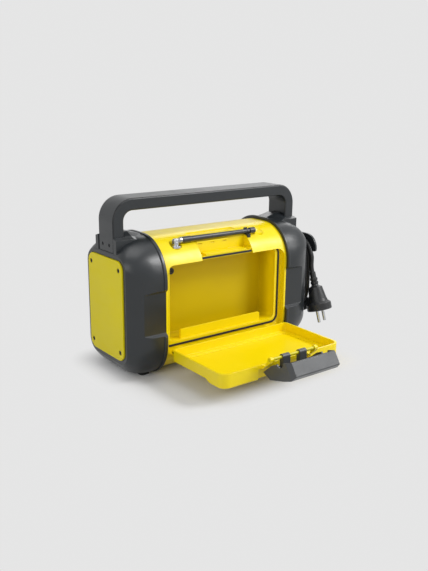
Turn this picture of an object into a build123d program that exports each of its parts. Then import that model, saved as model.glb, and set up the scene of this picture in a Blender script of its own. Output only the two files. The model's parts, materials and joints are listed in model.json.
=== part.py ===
"""Jobsite radio with a drop-down device compartment, modelled as its separate pieces.

Millimetres. X runs along the radio, from the plain end to the mains lead. Y runs from the
compartment door, at -Y, to the speakers, at +Y. Z is up, with the floor at zero and the origin
under the middle of the body. The door is modelled open, which is its rest position.
"""

import os
from math import asin, cos, pi, radians, sin, sqrt, tan

from build123d import *

os.makedirs("parts", exist_ok=True)

# ---------------------------------------------------------------- driving sizes: the body
body_half_length = 106.6      # from the middle to the inner edge of an end cap
cap_length = 53.4             # from that edge to the cap's end rim
cap_step = 3.0                # how far the caps stand proud of the barrel
cap_wall = 2.9
bead_proud = 1.6              # raised bead round each cap's inner edge
bead_width = 5.0
bead_radius = 1.2
barrel_wall = 3.0
barrel_half_depth = 64.0
barrel_bottom = 5.0
barrel_top = 190.5
barrel_bottom_radius = 47.0
barrel_top_radius = 53.0
barrel_overlap = 8.0          # how far the barrel runs inside each cap
fit_gap = 0.3                 # running gap between separate mouldings

cap_straight = 14.0           # cylindrical part of the cap before it rounds in
rim_half_depth = 51.0
rim_bottom = 25.0
rim_top = 172.0
rim_radius = 19.0
taper_steps = 4

panel_depth = 90.0            # the end panels, across the radio
panel_height = 136.0
panel_middle = 99.0
panel_radius = 13.0
panel_thickness = 4.2
panel_proud = 2.2
panel_gap = 0.5
end_wall = 4.0
panel_screw_y = 36.5
panel_screw_z = 56.0

grip_length = 36.0            # finger recess in each cap, from the cap's inner edge
grip_margin = 6.0
grip_bottom = 68.0
grip_top = 124.0
grip_sink = 3.6
grip_radius = 5.0
grip_slope = 40.0

foot_length = 14.0
foot_width = 13.0
foot_inset = 13.0             # middle of a foot from the cap's inner edge
foot_y = 24.0

# ---------------------------------------------------------------- handle
handle_inset = 1.6            # the legs' outer faces inside the caps' ends
handle_foot = 174.0
handle_height = 70.0
handle_section = 16.3         # across the loop, on the legs and the bar
handle_half_depth = 19.8
handle_outer_radius = 30.0
handle_edge = 2.4
cover_thickness = 2.2
cover_half_depth = 18.2
handle_hollow = 8.0
leg_screw_y = 8.5
leg_screw_rise = 9.0          # above the legs' ends
leg_screw_radius = 2.2
boss_wall = 10.6              # thickness of the cap's boss inboard of a leg
boss_margin = 0.6             # how far the boss's side walls run past the leg's outer face
boss_drop = 24.0              # depth of the boss below the leg's end
boss_half_depth = 27.5
boss_edge_rise = 17.6         # heights of its roof above the leg's end
boss_shoulder_half = 18.5
boss_shoulder_rise = 20.6
boss_crown_half = 9.0
boss_crown_rise = 25.4

# ---------------------------------------------------------------- compartment and its frame
recess_margin = 3.1           # from the caps' inner edges to the door's recess in the barrel
recess_bottom = 32.5
recess_radius = 12.0
recess_depth = 8.0            # floor of the recess behind the barrel's flat front
frame_thickness = 3.4         # of the frame round the mouth
frame_half = 106.0
frame_bottom = 28.0
frame_top = 168.0
mouth_left_margin = 7.5       # from the recess's ends to the mouth
mouth_right_margin = 12.5
mouth_bottom = 49.8
mouth_radius = 8.0
seal_left_margin = 3.3        # from the recess's ends to the seal
seal_right_margin = 6.7
seal_bottom = 44.8
seal_rise = 2.6               # of the seal's upper run above the recess
seal_left_radius = 3.6
seal_radius = 11.0
seal_width = 2.6
seal_groove = 2.0
seal_proud = 1.2
liner_wall = 2.4
liner_back = 21.0             # inner face of the liner's back wall in front of the middle
liner_radius = 9.0
rest_left = -75.0             # the lip that a telephone stands behind
rest_right = 68.0
rest_inset = 2.0              # behind the back of that frame
rest_thickness = 3.0
rest_top = 62.5
rest_radius = 3.0

# ---------------------------------------------------------------- door
door_gap = 0.7                # between the door's ends and its recess
door_start = 4.5              # rear edge of the open door in front of its hinge
door_top_gap = 2.5            # between the closed door and the top of its recess
door_rim = 45.0
door_shallow = 15.0           # outer depth of the tray beside the hinge
door_deep = 20.0              # outer depth of the tray beside the latch
door_step_inset = 36.0        # start of the step from the door's latch side
door_step_length = 10.0
door_wall = 3.0
door_floor = 3.0
door_front_radius = 12.0
door_back_radius = 7.0
door_edge = 2.5
panel_sink = 1.2              # shallow sunk panel in the tray's floor
panel_margin = 11.0
hinge_proud = 1.0             # axis of the hinge in front of the barrel
hinge_z = 37.5
knuckle_radius = 4.1
knuckle_inset = 18.8          # inner ends of the door's knuckles, from the door's ends
knuckle_length = 13.0
lug_length = 8.0
hinge_pin_radius = 1.6
hinge_pin_gap = 0.08
notch_half = 46.0
notch_top = 39.4
notch_depth = 5.5

# ---------------------------------------------------------------- latch
bar_reach = 14.0              # the bar that the latch turns on, beyond the door's edge
bar_z = 55.5
bar_radius = 2.1
bar_gap = 0.12
bar_half = 37.0
ear_thickness = 5.0
latch_half = 40.0
latch_wall = 2.4
latch_bevel = 2.4             # along the lever's outer face
latch_bevel_depth = 8.0
latch_edge = 0.9
latch_turn = 12.0             # from hanging open to latched, degrees
arm_start = 8.5
arm_width = 12.0
arm_radius = 3.8
latch_recess_half = 44.5
pocket_depth = 26.1           # floor of the latch's pocket below the barrel's top
ledge_thickness = 4.4
pocket_reach = 17.0           # from the recess's floor back to the pocket's wall
ear_notch_depth = 3.1
ear_notch_gap = 0.7
keeper_left = -42.5
keeper_right = 12.0
keeper_thickness = 3.9
keeper_height = 15.6
keeper_slot_rise = 12.4
keeper_slot_inset = 5.4       # middle of the first slot from the keeper's left end
keeper_slot_pitch = 21.4
keeper_slot_width = 7.0
keeper_slot_height = 1.6
keeper_slot_depth = 1.8

# ---------------------------------------------------------------- antenna
antenna_x = -77.0             # swivel axis
antenna_inset = 21.6          # axis of the mast behind the barrel's front
mast_gap = 2.0                # between the latch's keeper and the folded mast
antenna_length = 138.0        # from the swivel axis to the tip
antenna_root_radius = 4.2
antenna_middle_radius = 3.7
antenna_tip_radius = 3.2
antenna_button_radius = 4.4
antenna_button_length = 10.0
ferrule_start = 7.2
ferrule_length = 17.0
channel_gap = 1.4
knuckle_pocket_radius = 8.5
clip_length = 5.5
clip_wall = 1.8
clip_gap = 0.7
clip_reach = 4.4              # of its floor in front of the mast's axis
clip_rise = 4.8               # of its prong above that axis
groove_left = -49.0
groove_right = 36.0
groove_inset = 15.4           # middle of the finger groove behind the mast
groove_width = 12.0
groove_depth = 1.6
dimple_x = 71.0
dimple_inset = 2.9            # middle of the dimple behind the mast
dimple_radius = 12.0          # of the ball that the dimple is a part of
dimple_depth = 3.4

# ---------------------------------------------------------------- speaker side
fascia_half = 98.0
fascia_bottom = 46.0
fascia_top = 148.0
fascia_radius = 14.0
fascia_proud = 2.0            # in front of the barrel, on its side
fascia_depth = 10.0
fascia_skin = 3.0
fascia_edge = 3.0
fascia_ledge = 6.0
fascia_frame_depth = 3.4      # of the seat behind the fascia
speaker_x = 56.5
speaker_z = 97.0
speaker_hole = 31.0
speaker_flange = 34.5
speaker_depth = 30.0
cone_gap = 0.4                # between the fascia's skin and the cone's rim
cone_margin = 3.2             # between the opening's edge and the cone's rim
cone_rim = 1.8
cone_wall = 1.2
cone_depth = 12.0
cone_neck = 10.0              # radius at which the cone meets its dust cap
cap_neck = 5.0                # radius at which the dust cap levels out
cap_depth = 9.0
cap_dip = 0.6
magnet_radius = 21.0
magnet_height = 11.0
grille_thickness = 2.0
grille_slots = 9
grille_slot_width = 4.0
display_width = 38.0
display_height = 20.0
display_z = 130.0
knob_x = 11.5
knob_z = 101.0
knob_radius = 8.6
knob_height = 11.0
knob_flutes = 12
encoder_width = 12.0
encoder_height = 6.0
shaft_radius = 3.0
shaft_short = 3.0             # end of the shaft below the knob's face
shaft_gap = 0.08
button_pitch = 12.5
button_rows = (78.0, 64.0)
button_radius = 4.2
button_gap = 0.4
button_travel = 1.5
button_proud = 2.2
board_width = 40.0
board_bottom = 54.0
board_height = 88.0
board_thickness = 1.6
board_inset = 19.0            # front of the board behind the fascia's face
board_post_bottom = 57.0
board_post_top = 115.0

# ---------------------------------------------------------------- inside
supply_length = 84.0
supply_margin = 1.0           # from its sides to the curve of the barrel's floor
supply_height = 30.0
post_radius = 2.5
socket_plate_width = 20.0
socket_plate_height = 20.0
socket_y = 35.0
socket_z = 104.0
jack_x = -71.0
jack_z = 138.7
jack_radius = 4.6

# ---------------------------------------------------------------- cord wrap and mains lead
wrap_plateau = 2.8            # raised ring that the winding lies against
saddle_half_depth = 23.2
saddle_half_height = 42.7
saddle_radius = 20.0
saddle_wall = 3.0
saddle_reach = 21.0           # length of each saddle's legs, from its closed end
cord_diameter = 7.0
cord_layers = 2
cord_rows = 3
cord_gap = 0.3
flange_thickness = 3.4
flange_upper_half = 43.9
flange_upper_top = 163.8
flange_upper_cut = 137.4
flange_lower_half = 37.5
flange_lower_bottom = 35.0
flange_lower_cut = 60.0
flange_radius = 21.5
flange_tip_radius = 3.0
gland_radius = 5.2
gland_length = 6.0
relief_length = 8.0
joint_gap = 0.02
plug_face_radius = 19.5
plug_pin_radius = 2.4
plug_pin_length = 19.0
plug_pin_spacing = 19.0
# The lead rises from its gland and joins the winding on the speaker side.
lead_points = [
    (168.8, 12.0, 83.5),
    (168.8, 12.0, 89.0),
    (168.8, 13.3, 95.0),
    (168.8, 16.0, 100.6),
]
lead_join = (168.8, 23.6, 116.4)
turn_ease = 60.0              # radius at the start of the winding's last turn
# Its free end leaves the winding on the door's side and hangs down to the plug.
tail_points = [
    (182.8, -41.1, 121.7),
    (182.8, -41.1, 116.5),
    (182.8, -41.87, 110.57),
    (183.0, -43.4, 105.6),
]
plug_tip = (185.4, -61.4, 47.0)    # middle of the plug's face

# ---------------------------------------------------------------- values worked out from them
cap_end = body_half_length + cap_length
cap_half_depth = barrel_half_depth + cap_step
cap_bottom = barrel_bottom - cap_step
cap_top = barrel_top + cap_step
cap_bottom_radius = barrel_bottom_radius + cap_step
cap_top_radius = barrel_top_radius + cap_step
cap_taper = cap_length - cap_straight
panel_face = cap_end + panel_proud
panel_seat = panel_face - panel_thickness
cap_cavity_end = panel_seat - end_wall
foot_x = body_half_length + foot_inset
handle_half_span = cap_end - handle_inset
handle_top = handle_foot + handle_height
leg_screw_z = handle_foot + leg_screw_rise
cover_span = handle_half_span - cover_thickness
inner_leg = handle_half_span - handle_section
handle_inner_radius = handle_outer_radius - handle_section
ledge_height = barrel_top - pocket_depth
recess_top = ledge_height - ledge_thickness - liner_wall - 2 * fit_gap
seal_top = recess_top + seal_rise
recess_plane = barrel_half_depth - recess_depth
frame_back = recess_plane - frame_thickness
rest_front = frame_back - rest_inset
recess_half = body_half_length - recess_margin
mouth_left = mouth_left_margin - recess_half
mouth_right = recess_half - mouth_right_margin
mouth_middle = (mouth_left + mouth_right) / 2
mouth_half = (mouth_right - mouth_left) / 2
seal_left = seal_left_margin - recess_half
seal_right = recess_half - seal_right_margin
door_half = recess_half - door_gap
knuckle_start = door_half - knuckle_inset
hinge_y = barrel_half_depth + hinge_proud
door_back = hinge_y + door_start
door_front = hinge_y + recess_top - door_top_gap - hinge_z
door_step_start = door_front - door_step_inset
door_step_end = door_step_start + door_step_length
bar_y = door_front + bar_reach
pocket_back = recess_plane - pocket_reach
keeper_front = pocket_back + keeper_thickness
keeper_top = ledge_height + keeper_height
antenna_z = keeper_top + mast_gap + antenna_middle_radius
antenna_y = barrel_half_depth - antenna_inset
groove_y = antenna_y - groove_inset
dimple_y = antenna_y - dimple_inset
fascia_front = barrel_half_depth + fascia_proud
fascia_back = fascia_front - fascia_depth
fascia_frame_back = fascia_back - fascia_frame_depth
board_y = fascia_front - board_inset
supply_width = 2 * (barrel_half_depth - barrel_bottom_radius - supply_margin)
wrap_face = panel_face + wrap_plateau
winding_start = wrap_face + cord_gap
winding_end = winding_start + cord_rows * cord_diameter
flange_inner_x = winding_end + cord_gap
winding_depth = cord_layers * cord_diameter
clip_x = antenna_x + antenna_length - antenna_button_length - 0.6


def body_outline(half_depth, bottom, top, bottom_radius, top_radius):
    """Draw an upright rounded section in the sketch that is open, seen along X."""
    with Locations((0, (bottom + top) / 2)):
        Rectangle(2 * half_depth, top - bottom)
    fillet(vertices().group_by(Axis.Y)[0], bottom_radius)
    fillet(vertices().group_by(Axis.Y)[-1], top_radius)


def barrel_solid(inset, half_length):
    """The barrel's outer form, drawn in by inset on every side."""
    with BuildPart() as form:
        with BuildSketch(Plane.YZ.offset(-half_length)):
            body_outline(
                barrel_half_depth - inset,
                barrel_bottom + inset,
                barrel_top - inset,
                barrel_bottom_radius - inset,
                barrel_top_radius - inset,
            )
        extrude(amount=2 * half_length)
    return form.part


def round_in(share, length, drop):
    """How far an arc of that length and drop has come in at a share of its length."""
    radius = (length**2 + drop**2) / (2 * drop)
    return radius - sqrt(radius**2 - (share * length) ** 2)


def cap_solid(inset, end):
    """The right cap's outer form, drawn in by inset, from its inner edge to x = end."""
    taper = end - body_half_length - cap_straight
    with BuildPart() as form:
        with BuildSketch(Plane.YZ.offset(body_half_length)):
            body_outline(
                cap_half_depth - inset,
                cap_bottom + inset,
                cap_top - inset,
                cap_bottom_radius - inset,
                cap_top_radius - inset,
            )
        extrude(amount=cap_straight)
        for step in range(taper_steps + 1):
            share = step / taper_steps
            side = round_in(share, taper, cap_half_depth - rim_half_depth)
            above = round_in(share, taper, cap_top - rim_top)
            below = round_in(share, taper, rim_bottom - cap_bottom)
            with BuildSketch(Plane.YZ.offset(body_half_length + cap_straight + share * taper)):
                body_outline(
                    cap_half_depth - inset - side,
                    cap_bottom + inset + below,
                    cap_top - inset - above,
                    cap_bottom_radius - inset + share**2 * (rim_radius - cap_bottom_radius),
                    cap_top_radius - inset + share**2 * (rim_radius - cap_top_radius),
                )
        loft()
    return form.part


def block(x0, x1, y0, y1, z0, z1):
    """A plain block between two corners, for cutting and for pads under a skin."""
    return Solid.make_box(x1 - x0, y1 - y0, z1 - z0, Plane((x0, y0, z0)))


def round_plate(half_width, bottom, top, radius, y_front, y_back, middle=0):
    """An upright plate with rounded corners, seen along Y, between two distances in front."""
    with BuildPart() as plate:
        with BuildSketch(Plane.XZ.offset(y_back)):
            with Locations((middle, (bottom + top) / 2)):
                RectangleRounded(2 * half_width, top - bottom, radius)
        extrude(amount=y_front - y_back)
    return plate.part


def arch(span, top, foot, radius):
    """The handle's arch as a face: square at its feet, round above."""
    with BuildSketch(mode=Mode.PRIVATE) as outline:
        with Locations((0, (top + foot) / 2)):
            Rectangle(2 * span, top - foot)
        fillet(outline.vertices().group_by(Axis.Y)[-1], radius)
    return outline.sketch


def seal_outline(grow):
    """The seal's run as a face, grown by grow: tighter corners at its left end."""
    with BuildSketch(mode=Mode.PRIVATE) as outline:
        with Locations(((seal_left + seal_right) / 2, (seal_bottom + seal_top) / 2)):
            Rectangle(seal_right - seal_left + 2 * grow, seal_top - seal_bottom + 2 * grow)
        fillet(outline.vertices().group_by(Axis.X)[0], seal_left_radius + grow)
        fillet(outline.vertices().group_by(Axis.X)[-1], seal_radius + grow)
    return outline.sketch


def tray_outline(margin, front_radius, back_radius):
    """The tray's inner outline as a face, at a margin inside its walls' outer faces."""
    with BuildSketch(mode=Mode.PRIVATE) as outline:
        with Locations((0, -(door_back + door_front) / 2)):
            Rectangle(2 * (door_half - margin), door_front - door_back - 2 * margin)
        fillet(outline.vertices().group_by(Axis.Y)[0], front_radius)
        fillet(outline.vertices().group_by(Axis.Y)[-1], back_radius)
    return outline.sketch


# ---------------------------------------------------------------- end caps
def boss_section(drop):
    """Corners of the boss's section, as y and z, with its roof lowered by drop."""
    foot = handle_foot - drop
    near_side = [
        (-boss_half_depth, foot - boss_drop),
        (-boss_half_depth, foot + boss_edge_rise),
        (-boss_shoulder_half, foot + boss_shoulder_rise),
        (-boss_crown_half, foot + boss_crown_rise),
    ]
    return near_side + [(-y, z) for y, z in reversed(near_side)]


def make_cap():
    """One end cap with its handle boss, grips and panel seat, for the +X end."""
    outer = cap_solid(0, cap_end)
    grip_depth = cap_half_depth - grip_sink
    grip_pad = outer & block(
        body_half_length,
        body_half_length + grip_length + 4,
        -cap_half_depth - 1,
        -(grip_depth - cap_wall),
        grip_bottom - grip_margin,
        grip_top + grip_margin,
    )
    with BuildPart() as grip_cut:
        with BuildSketch(Plane.XZ.offset(grip_depth)):
            with Locations((body_half_length + grip_length / 2 - 10, (grip_bottom + grip_top) / 2)):
                RectangleRounded(grip_length + 20, grip_top - grip_bottom, grip_radius)
        extrude(amount=grip_sink + bead_proud + 1, taper=-grip_slope)
    with BuildPart() as bead:
        with BuildSketch(Plane.YZ.offset(body_half_length)):
            body_outline(
                cap_half_depth + bead_proud,
                cap_bottom - bead_proud,
                cap_top + bead_proud,
                cap_bottom_radius + bead_proud,
                cap_top_radius + bead_proud,
            )
        extrude(amount=bead_width)
        fillet(bead.faces().filter_by(Axis.X).edges(), bead_radius)
    # The boss's faceted roof, level round the leg, falls away to the bead.
    boss_inner_x = inner_leg - boss_wall
    with BuildPart() as boss:
        with BuildSketch(Plane.YZ.offset(boss_inner_x)):
            Polygon(*boss_section(0), align=None)
        extrude(amount=handle_half_span + boss_margin - boss_inner_x)
        with BuildSketch(Plane.YZ.offset(boss_inner_x)):
            Polygon(*boss_section(0), align=None)
        with BuildSketch(Plane.YZ.offset(body_half_length + bead_width / 2)):
            Polygon(*boss_section(handle_foot + boss_crown_rise - cap_top), align=None)
        loft()
    with BuildPart() as cap:
        add(outer)
        add(bead.part)
        add(cap_solid(cap_wall, cap_cavity_end), mode=Mode.SUBTRACT)
        add(grip_pad)
        add(mirror(grip_pad, about=Plane.XZ))
        add(boss.part - cap_solid(cap_wall, cap_cavity_end))
        add(grip_cut.part, mode=Mode.SUBTRACT)
        add(mirror(grip_cut.part, about=Plane.XZ), mode=Mode.SUBTRACT)
        # The handle's leg drops into a slot that is open towards the end.
        with BuildSketch(Plane.XY.offset(handle_foot - fit_gap)):
            with Locations(((inner_leg - fit_gap + cap_end + 4) / 2, 0)):
                Rectangle(cap_end + 4 - inner_leg + fit_gap, 2 * (handle_half_depth + fit_gap))
        extrude(amount=handle_height, mode=Mode.SUBTRACT)
        # Seat of the end panel.
        with BuildSketch(Plane.YZ.offset(panel_seat)):
            with Locations((0, panel_middle)):
                RectangleRounded(
                    panel_depth + 2 * panel_gap,
                    panel_height + 2 * panel_gap,
                    panel_radius + panel_gap,
                )
        extrude(amount=panel_thickness + 1, mode=Mode.SUBTRACT)
        with BuildSketch(Plane.YZ.offset(panel_seat)):
            with Locations((0, panel_middle)):
                with GridLocations(2 * panel_screw_y, 2 * panel_screw_z, 2, 2):
                    Circle(1.3)
        extrude(amount=-end_wall, mode=Mode.SUBTRACT)
    return cap.part


cap_blank = make_cap()
with BuildPart() as right_end_cap:
    add(cap_blank)
with BuildPart() as left_end_cap:
    add(mirror(cap_blank, about=Plane.YZ))

# ---------------------------------------------------------------- plain end panel
with BuildPart() as left_side_panel:
    with BuildSketch(Plane.YZ.offset(-panel_seat)):
        with Locations((0, panel_middle)):
            RectangleRounded(panel_depth, panel_height, panel_radius)
    extrude(amount=-panel_thickness)
    fillet(left_side_panel.faces().sort_by(Axis.X)[0].edges(), 1.0)
    with Locations(Plane((-panel_face, 0, panel_middle), x_dir=(0, -1, 0), z_dir=(-1, 0, 0))):
        with GridLocations(2 * panel_screw_y, 2 * panel_screw_z, 2, 2):
            CounterBoreHole(1.9, 3.3, 2.4, depth=panel_thickness)

with BuildPart() as side_panel_screws:
    with BuildSketch(Plane.YZ.offset(-panel_seat + end_wall)):
        with Locations((0, panel_middle)):
            with GridLocations(2 * panel_screw_y, 2 * panel_screw_z, 2, 2):
                Circle(1.25)
    extrude(amount=-(end_wall + panel_thickness - 2.4))
    with BuildSketch(Plane.YZ.offset(-panel_face + 2.4)):
        with Locations((0, panel_middle)):
            with GridLocations(2 * panel_screw_y, 2 * panel_screw_z, 2, 2):
                Circle(3.0)
                RegularPolygon(1.3, 6, mode=Mode.SUBTRACT)
    extrude(amount=-1.8)
    with BuildSketch(Plane.YZ.offset(-panel_face + 2.4)):
        with Locations((0, panel_middle)):
            with GridLocations(2 * panel_screw_y, 2 * panel_screw_z, 2, 2):
                Circle(3.0)
    extrude(amount=-0.8)

# ---------------------------------------------------------------- barrel
sections_frame = barrel_solid(0, body_half_length + barrel_overlap)
front_frame = sections_frame & block(
    -frame_half, frame_half, -barrel_half_depth, -frame_back, frame_bottom, frame_top
)
rear_frame = sections_frame & block(
    -fascia_half - fascia_ledge,
    fascia_half + fascia_ledge,
    fascia_frame_back,
    barrel_half_depth,
    fascia_bottom - fascia_ledge,
    fascia_top + fascia_ledge,
)
pocket_block = sections_frame & block(
    -latch_recess_half - barrel_wall,
    latch_recess_half + barrel_wall,
    -frame_back - 6,
    -pocket_back + barrel_wall,
    ledge_height - ledge_thickness,
    barrel_top - 1,
)
knuckle_block = sections_frame & block(
    antenna_x - knuckle_pocket_radius - 3,
    antenna_x + knuckle_pocket_radius + 3,
    -antenna_y - knuckle_pocket_radius - 3,
    -antenna_y + knuckle_pocket_radius + 3,
    antenna_z - 16,
    barrel_top - 1,
)
channel_block = sections_frame & block(
    antenna_x,
    dimple_x + dimple_radius,
    -antenna_y - 9,
    -antenna_y + 9,
    antenna_z - 13,
    barrel_top - 1,
)
groove_block = sections_frame & block(
    groove_left - 4,
    groove_right + 4,
    -groove_y - groove_width,
    -groove_y + groove_width,
    barrel_top - 9,
    barrel_top,
)

with BuildPart() as barrel_shell:
    add(barrel_solid(0, body_half_length + barrel_overlap))
    add(barrel_solid(barrel_wall, body_half_length + barrel_overlap + 1), mode=Mode.SUBTRACT)
    add(front_frame)
    add(rear_frame)
    add(pocket_block)
    add(knuckle_block)
    add(channel_block)
    add(groove_block)
    # Recess for the door, the mouth of the compartment and the seal's groove.
    add(
        round_plate(
            recess_half, recess_bottom, recess_top, recess_radius, barrel_half_depth + 2, recess_plane
        ),
        mode=Mode.SUBTRACT,
    )
    add(
        round_plate(
            mouth_half,
            mouth_bottom,
            recess_top,
            mouth_radius,
            barrel_half_depth + 2,
            frame_back - 4,
            mouth_middle,
        ),
        mode=Mode.SUBTRACT,
    )
    with BuildSketch(Plane.XZ.offset(recess_plane - seal_groove)):
        add(seal_outline(seal_width / 2))
        add(seal_outline(-seal_width / 2), mode=Mode.SUBTRACT)
    extrude(amount=seal_groove + seal_proud, mode=Mode.SUBTRACT)
    # Recess of the latch, over the mouth's upper edge and up the shoulder.
    with BuildSketch(Plane.YZ.offset(-latch_recess_half)):
        with BuildLine():
            Polyline(
                (-barrel_half_depth - 2, recess_top - 1),
                (-recess_plane, recess_top - 1),
                (-recess_plane, ledge_height),
                (-pocket_back, ledge_height),
                (-pocket_back, barrel_top + 2),
                (-barrel_half_depth - 2, barrel_top + 2),
                close=True,
            )
        make_face()
    extrude(amount=2 * latch_recess_half, mode=Mode.SUBTRACT)
    # Notches in the pocket's floor for the ears of the closed door.
    for side in (-1, 1):
        notch_start = bar_half - 1 - ear_notch_gap
        notch_end = bar_half - 1 + ear_thickness + ear_notch_gap
        add(
            block(
                min(side * notch_start, side * notch_end),
                max(side * notch_start, side * notch_end),
                -recess_plane - 1,
                -pocket_back,
                ledge_height - ear_notch_depth,
                ledge_height + 1,
            ),
            mode=Mode.SUBTRACT,
        )
    # Pocket of the antenna's swivel, and the finger groove behind the mast.
    with BuildSketch(Plane.XY.offset(antenna_z - 9.5)):
        with Locations((antenna_x, -antenna_y)):
            Circle(knuckle_pocket_radius)
    extrude(amount=30, mode=Mode.SUBTRACT)
    with BuildSketch(Plane.XY.offset(barrel_top - groove_depth - 1.4)):
        with Locations(((groove_left + groove_right) / 2, -groove_y)):
            SlotOverall(groove_right - groove_left, groove_width)
    extrude(amount=12, mode=Mode.SUBTRACT)
    # Dimple for the fingertip that lifts the mast by its end.
    shoulder_y = barrel_half_depth - barrel_top_radius
    shoulder_z = barrel_top - barrel_top_radius
    dimple_lean = asin((dimple_y - shoulder_y) / barrel_top_radius)
    dimple_reach = barrel_top_radius + dimple_radius - dimple_depth
    with Locations(
        (
            dimple_x,
            -shoulder_y - dimple_reach * sin(dimple_lean),
            shoulder_z + dimple_reach * cos(dimple_lean),
        )
    ):
        Sphere(dimple_radius, mode=Mode.SUBTRACT)
    # Floor and back wall that the folded mast lies against, open towards the door for its swing.
    button_start = antenna_length - antenna_button_length - 1
    for start, end, room in (
        (0, button_start, antenna_root_radius + channel_gap),
        (button_start, antenna_length + 1.5, antenna_button_radius + channel_gap + 0.4),
    ):
        add(
            block(
                antenna_x + start,
                antenna_x + end,
                -antenna_y - 16,
                -antenna_y + room,
                antenna_z - room,
                antenna_z + 16,
            ),
            mode=Mode.SUBTRACT,
        )
    # Opening for the fascia on the speaker side.
    add(
        mirror(
            round_plate(
                fascia_half,
                fascia_bottom,
                fascia_top,
                fascia_radius,
                barrel_half_depth + 2,
                fascia_back,
            ),
            about=Plane.XZ,
        ),
        mode=Mode.SUBTRACT,
    )
    add(
        mirror(
            round_plate(
                fascia_half - fascia_ledge,
                fascia_bottom + fascia_ledge,
                fascia_top - fascia_ledge,
                fascia_radius - fascia_ledge / 2,
                barrel_half_depth + 2,
                fascia_frame_back - 6,
            ),
            about=Plane.XZ,
        ),
        mode=Mode.SUBTRACT,
    )
    # The barrel's ends give way to the caps' thick walls behind their grips.
    for side in (-1, 1):
        for face in (-1, 1):
            with Locations(
                (
                    side * (body_half_length + barrel_overlap),
                    face * barrel_half_depth,
                    (grip_bottom + grip_top) / 2,
                )
            ):
                Box(
                    2 * barrel_overlap,
                    2 * (grip_sink + fit_gap),
                    grip_top - grip_bottom + 2 * (grip_margin + fit_gap),
                    mode=Mode.SUBTRACT,
                )
    # Hinge lugs below the mouth.
    for side in (-1, 1):
        lug_start = knuckle_start - fit_gap - lug_length
        with BuildSketch(Plane.YZ.offset(min(side * lug_start, side * (lug_start + lug_length)))):
            with Locations((-hinge_y, hinge_z)):
                Circle(knuckle_radius)
            with Locations((-(hinge_y + recess_plane) / 2 + 1, hinge_z - 1)):
                Rectangle(hinge_y - recess_plane + 2, 2 * knuckle_radius - 2)
        extrude(amount=lug_length)
        with BuildSketch(Plane.YZ.offset(min(side * lug_start, side * (lug_start + lug_length)) - 1)):
            with Locations((-hinge_y, hinge_z)):
                Circle(hinge_pin_radius)
        extrude(amount=lug_length + 2, mode=Mode.SUBTRACT)

with BuildPart() as hinge_pins:
    for side in (-1, 1):
        pin_start = knuckle_start - fit_gap - lug_length
        pin_length = lug_length + fit_gap + knuckle_length
        with BuildSketch(Plane.YZ.offset(min(side * pin_start, side * (pin_start + pin_length)))):
            with Locations((-hinge_y, hinge_z)):
                Circle(hinge_pin_radius)
        extrude(amount=pin_length)

with BuildPart() as door_seal:
    with BuildSketch(Plane.XZ.offset(recess_plane - seal_groove)):
        add(seal_outline(seal_width / 2))
        add(seal_outline(-seal_width / 2), mode=Mode.SUBTRACT)
    extrude(amount=seal_groove + seal_proud)

# ---------------------------------------------------------------- compartment liner
liner_half = mouth_half + fit_gap + liner_wall
with BuildPart() as compartment_liner:
    add(
        round_plate(
            liner_half,
            mouth_bottom - fit_gap - liner_wall,
            recess_top + fit_gap + liner_wall,
            liner_radius + liner_wall,
            frame_back - fit_gap / 3,
            liner_back - liner_wall,
            mouth_middle,
        )
    )
    add(
        round_plate(
            mouth_half + fit_gap,
            mouth_bottom - fit_gap,
            recess_top + fit_gap,
            liner_radius,
            frame_back + 1,
            liner_back,
            mouth_middle,
        ),
        mode=Mode.SUBTRACT,
    )
    with BuildSketch(Plane.XZ.offset(rest_front - rest_thickness)):
        with Locations(((rest_left + rest_right) / 2, (mouth_bottom + rest_top) / 2 - 1)):
            Rectangle(rest_right - rest_left, rest_top - mouth_bottom + 2)
        fillet(vertices().group_by(Axis.Y)[-1], rest_radius)
    extrude(amount=rest_thickness)

# The charging socket is in the compartment's left wall, the round one in its back wall.
with BuildPart() as socket_plate:
    with BuildSketch(Plane.YZ.offset(mouth_left - fit_gap)):
        with Locations((-socket_y, socket_z)):
            RectangleRounded(socket_plate_width, socket_plate_height, 3)
    extrude(amount=2)
    with BuildSketch(Plane.YZ.offset(mouth_left - fit_gap + 0.6)):
        with Locations((-socket_y, socket_z)):
            Rectangle(6.0, 13.0)
    extrude(amount=3, mode=Mode.SUBTRACT)
    with BuildSketch(Plane.XZ.offset(liner_back)):
        with Locations((jack_x, jack_z)):
            Circle(jack_radius)
    extrude(amount=1.6)
    with BuildSketch(Plane.XZ.offset(liner_back + 0.5)):
        with Locations((jack_x, jack_z)):
            Circle(jack_radius / 2)
    extrude(amount=3, mode=Mode.SUBTRACT)

# ---------------------------------------------------------------- latch keeper
# It stands on the pocket's floor, against the back wall, behind the closed latch's arms.
with BuildPart() as latch_keeper:
    add(block(keeper_left, keeper_right, -keeper_front, -pocket_back, ledge_height, keeper_top))
    with BuildSketch(Plane.XZ.offset(keeper_front - keeper_slot_depth)):
        with Locations(
            (keeper_left + keeper_slot_inset + keeper_slot_pitch, ledge_height + keeper_slot_rise)
        ):
            with GridLocations(keeper_slot_pitch, 0, 3, 1):
                Rectangle(keeper_slot_width, keeper_slot_height)
    extrude(amount=keeper_slot_depth + 1, mode=Mode.SUBTRACT)

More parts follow.
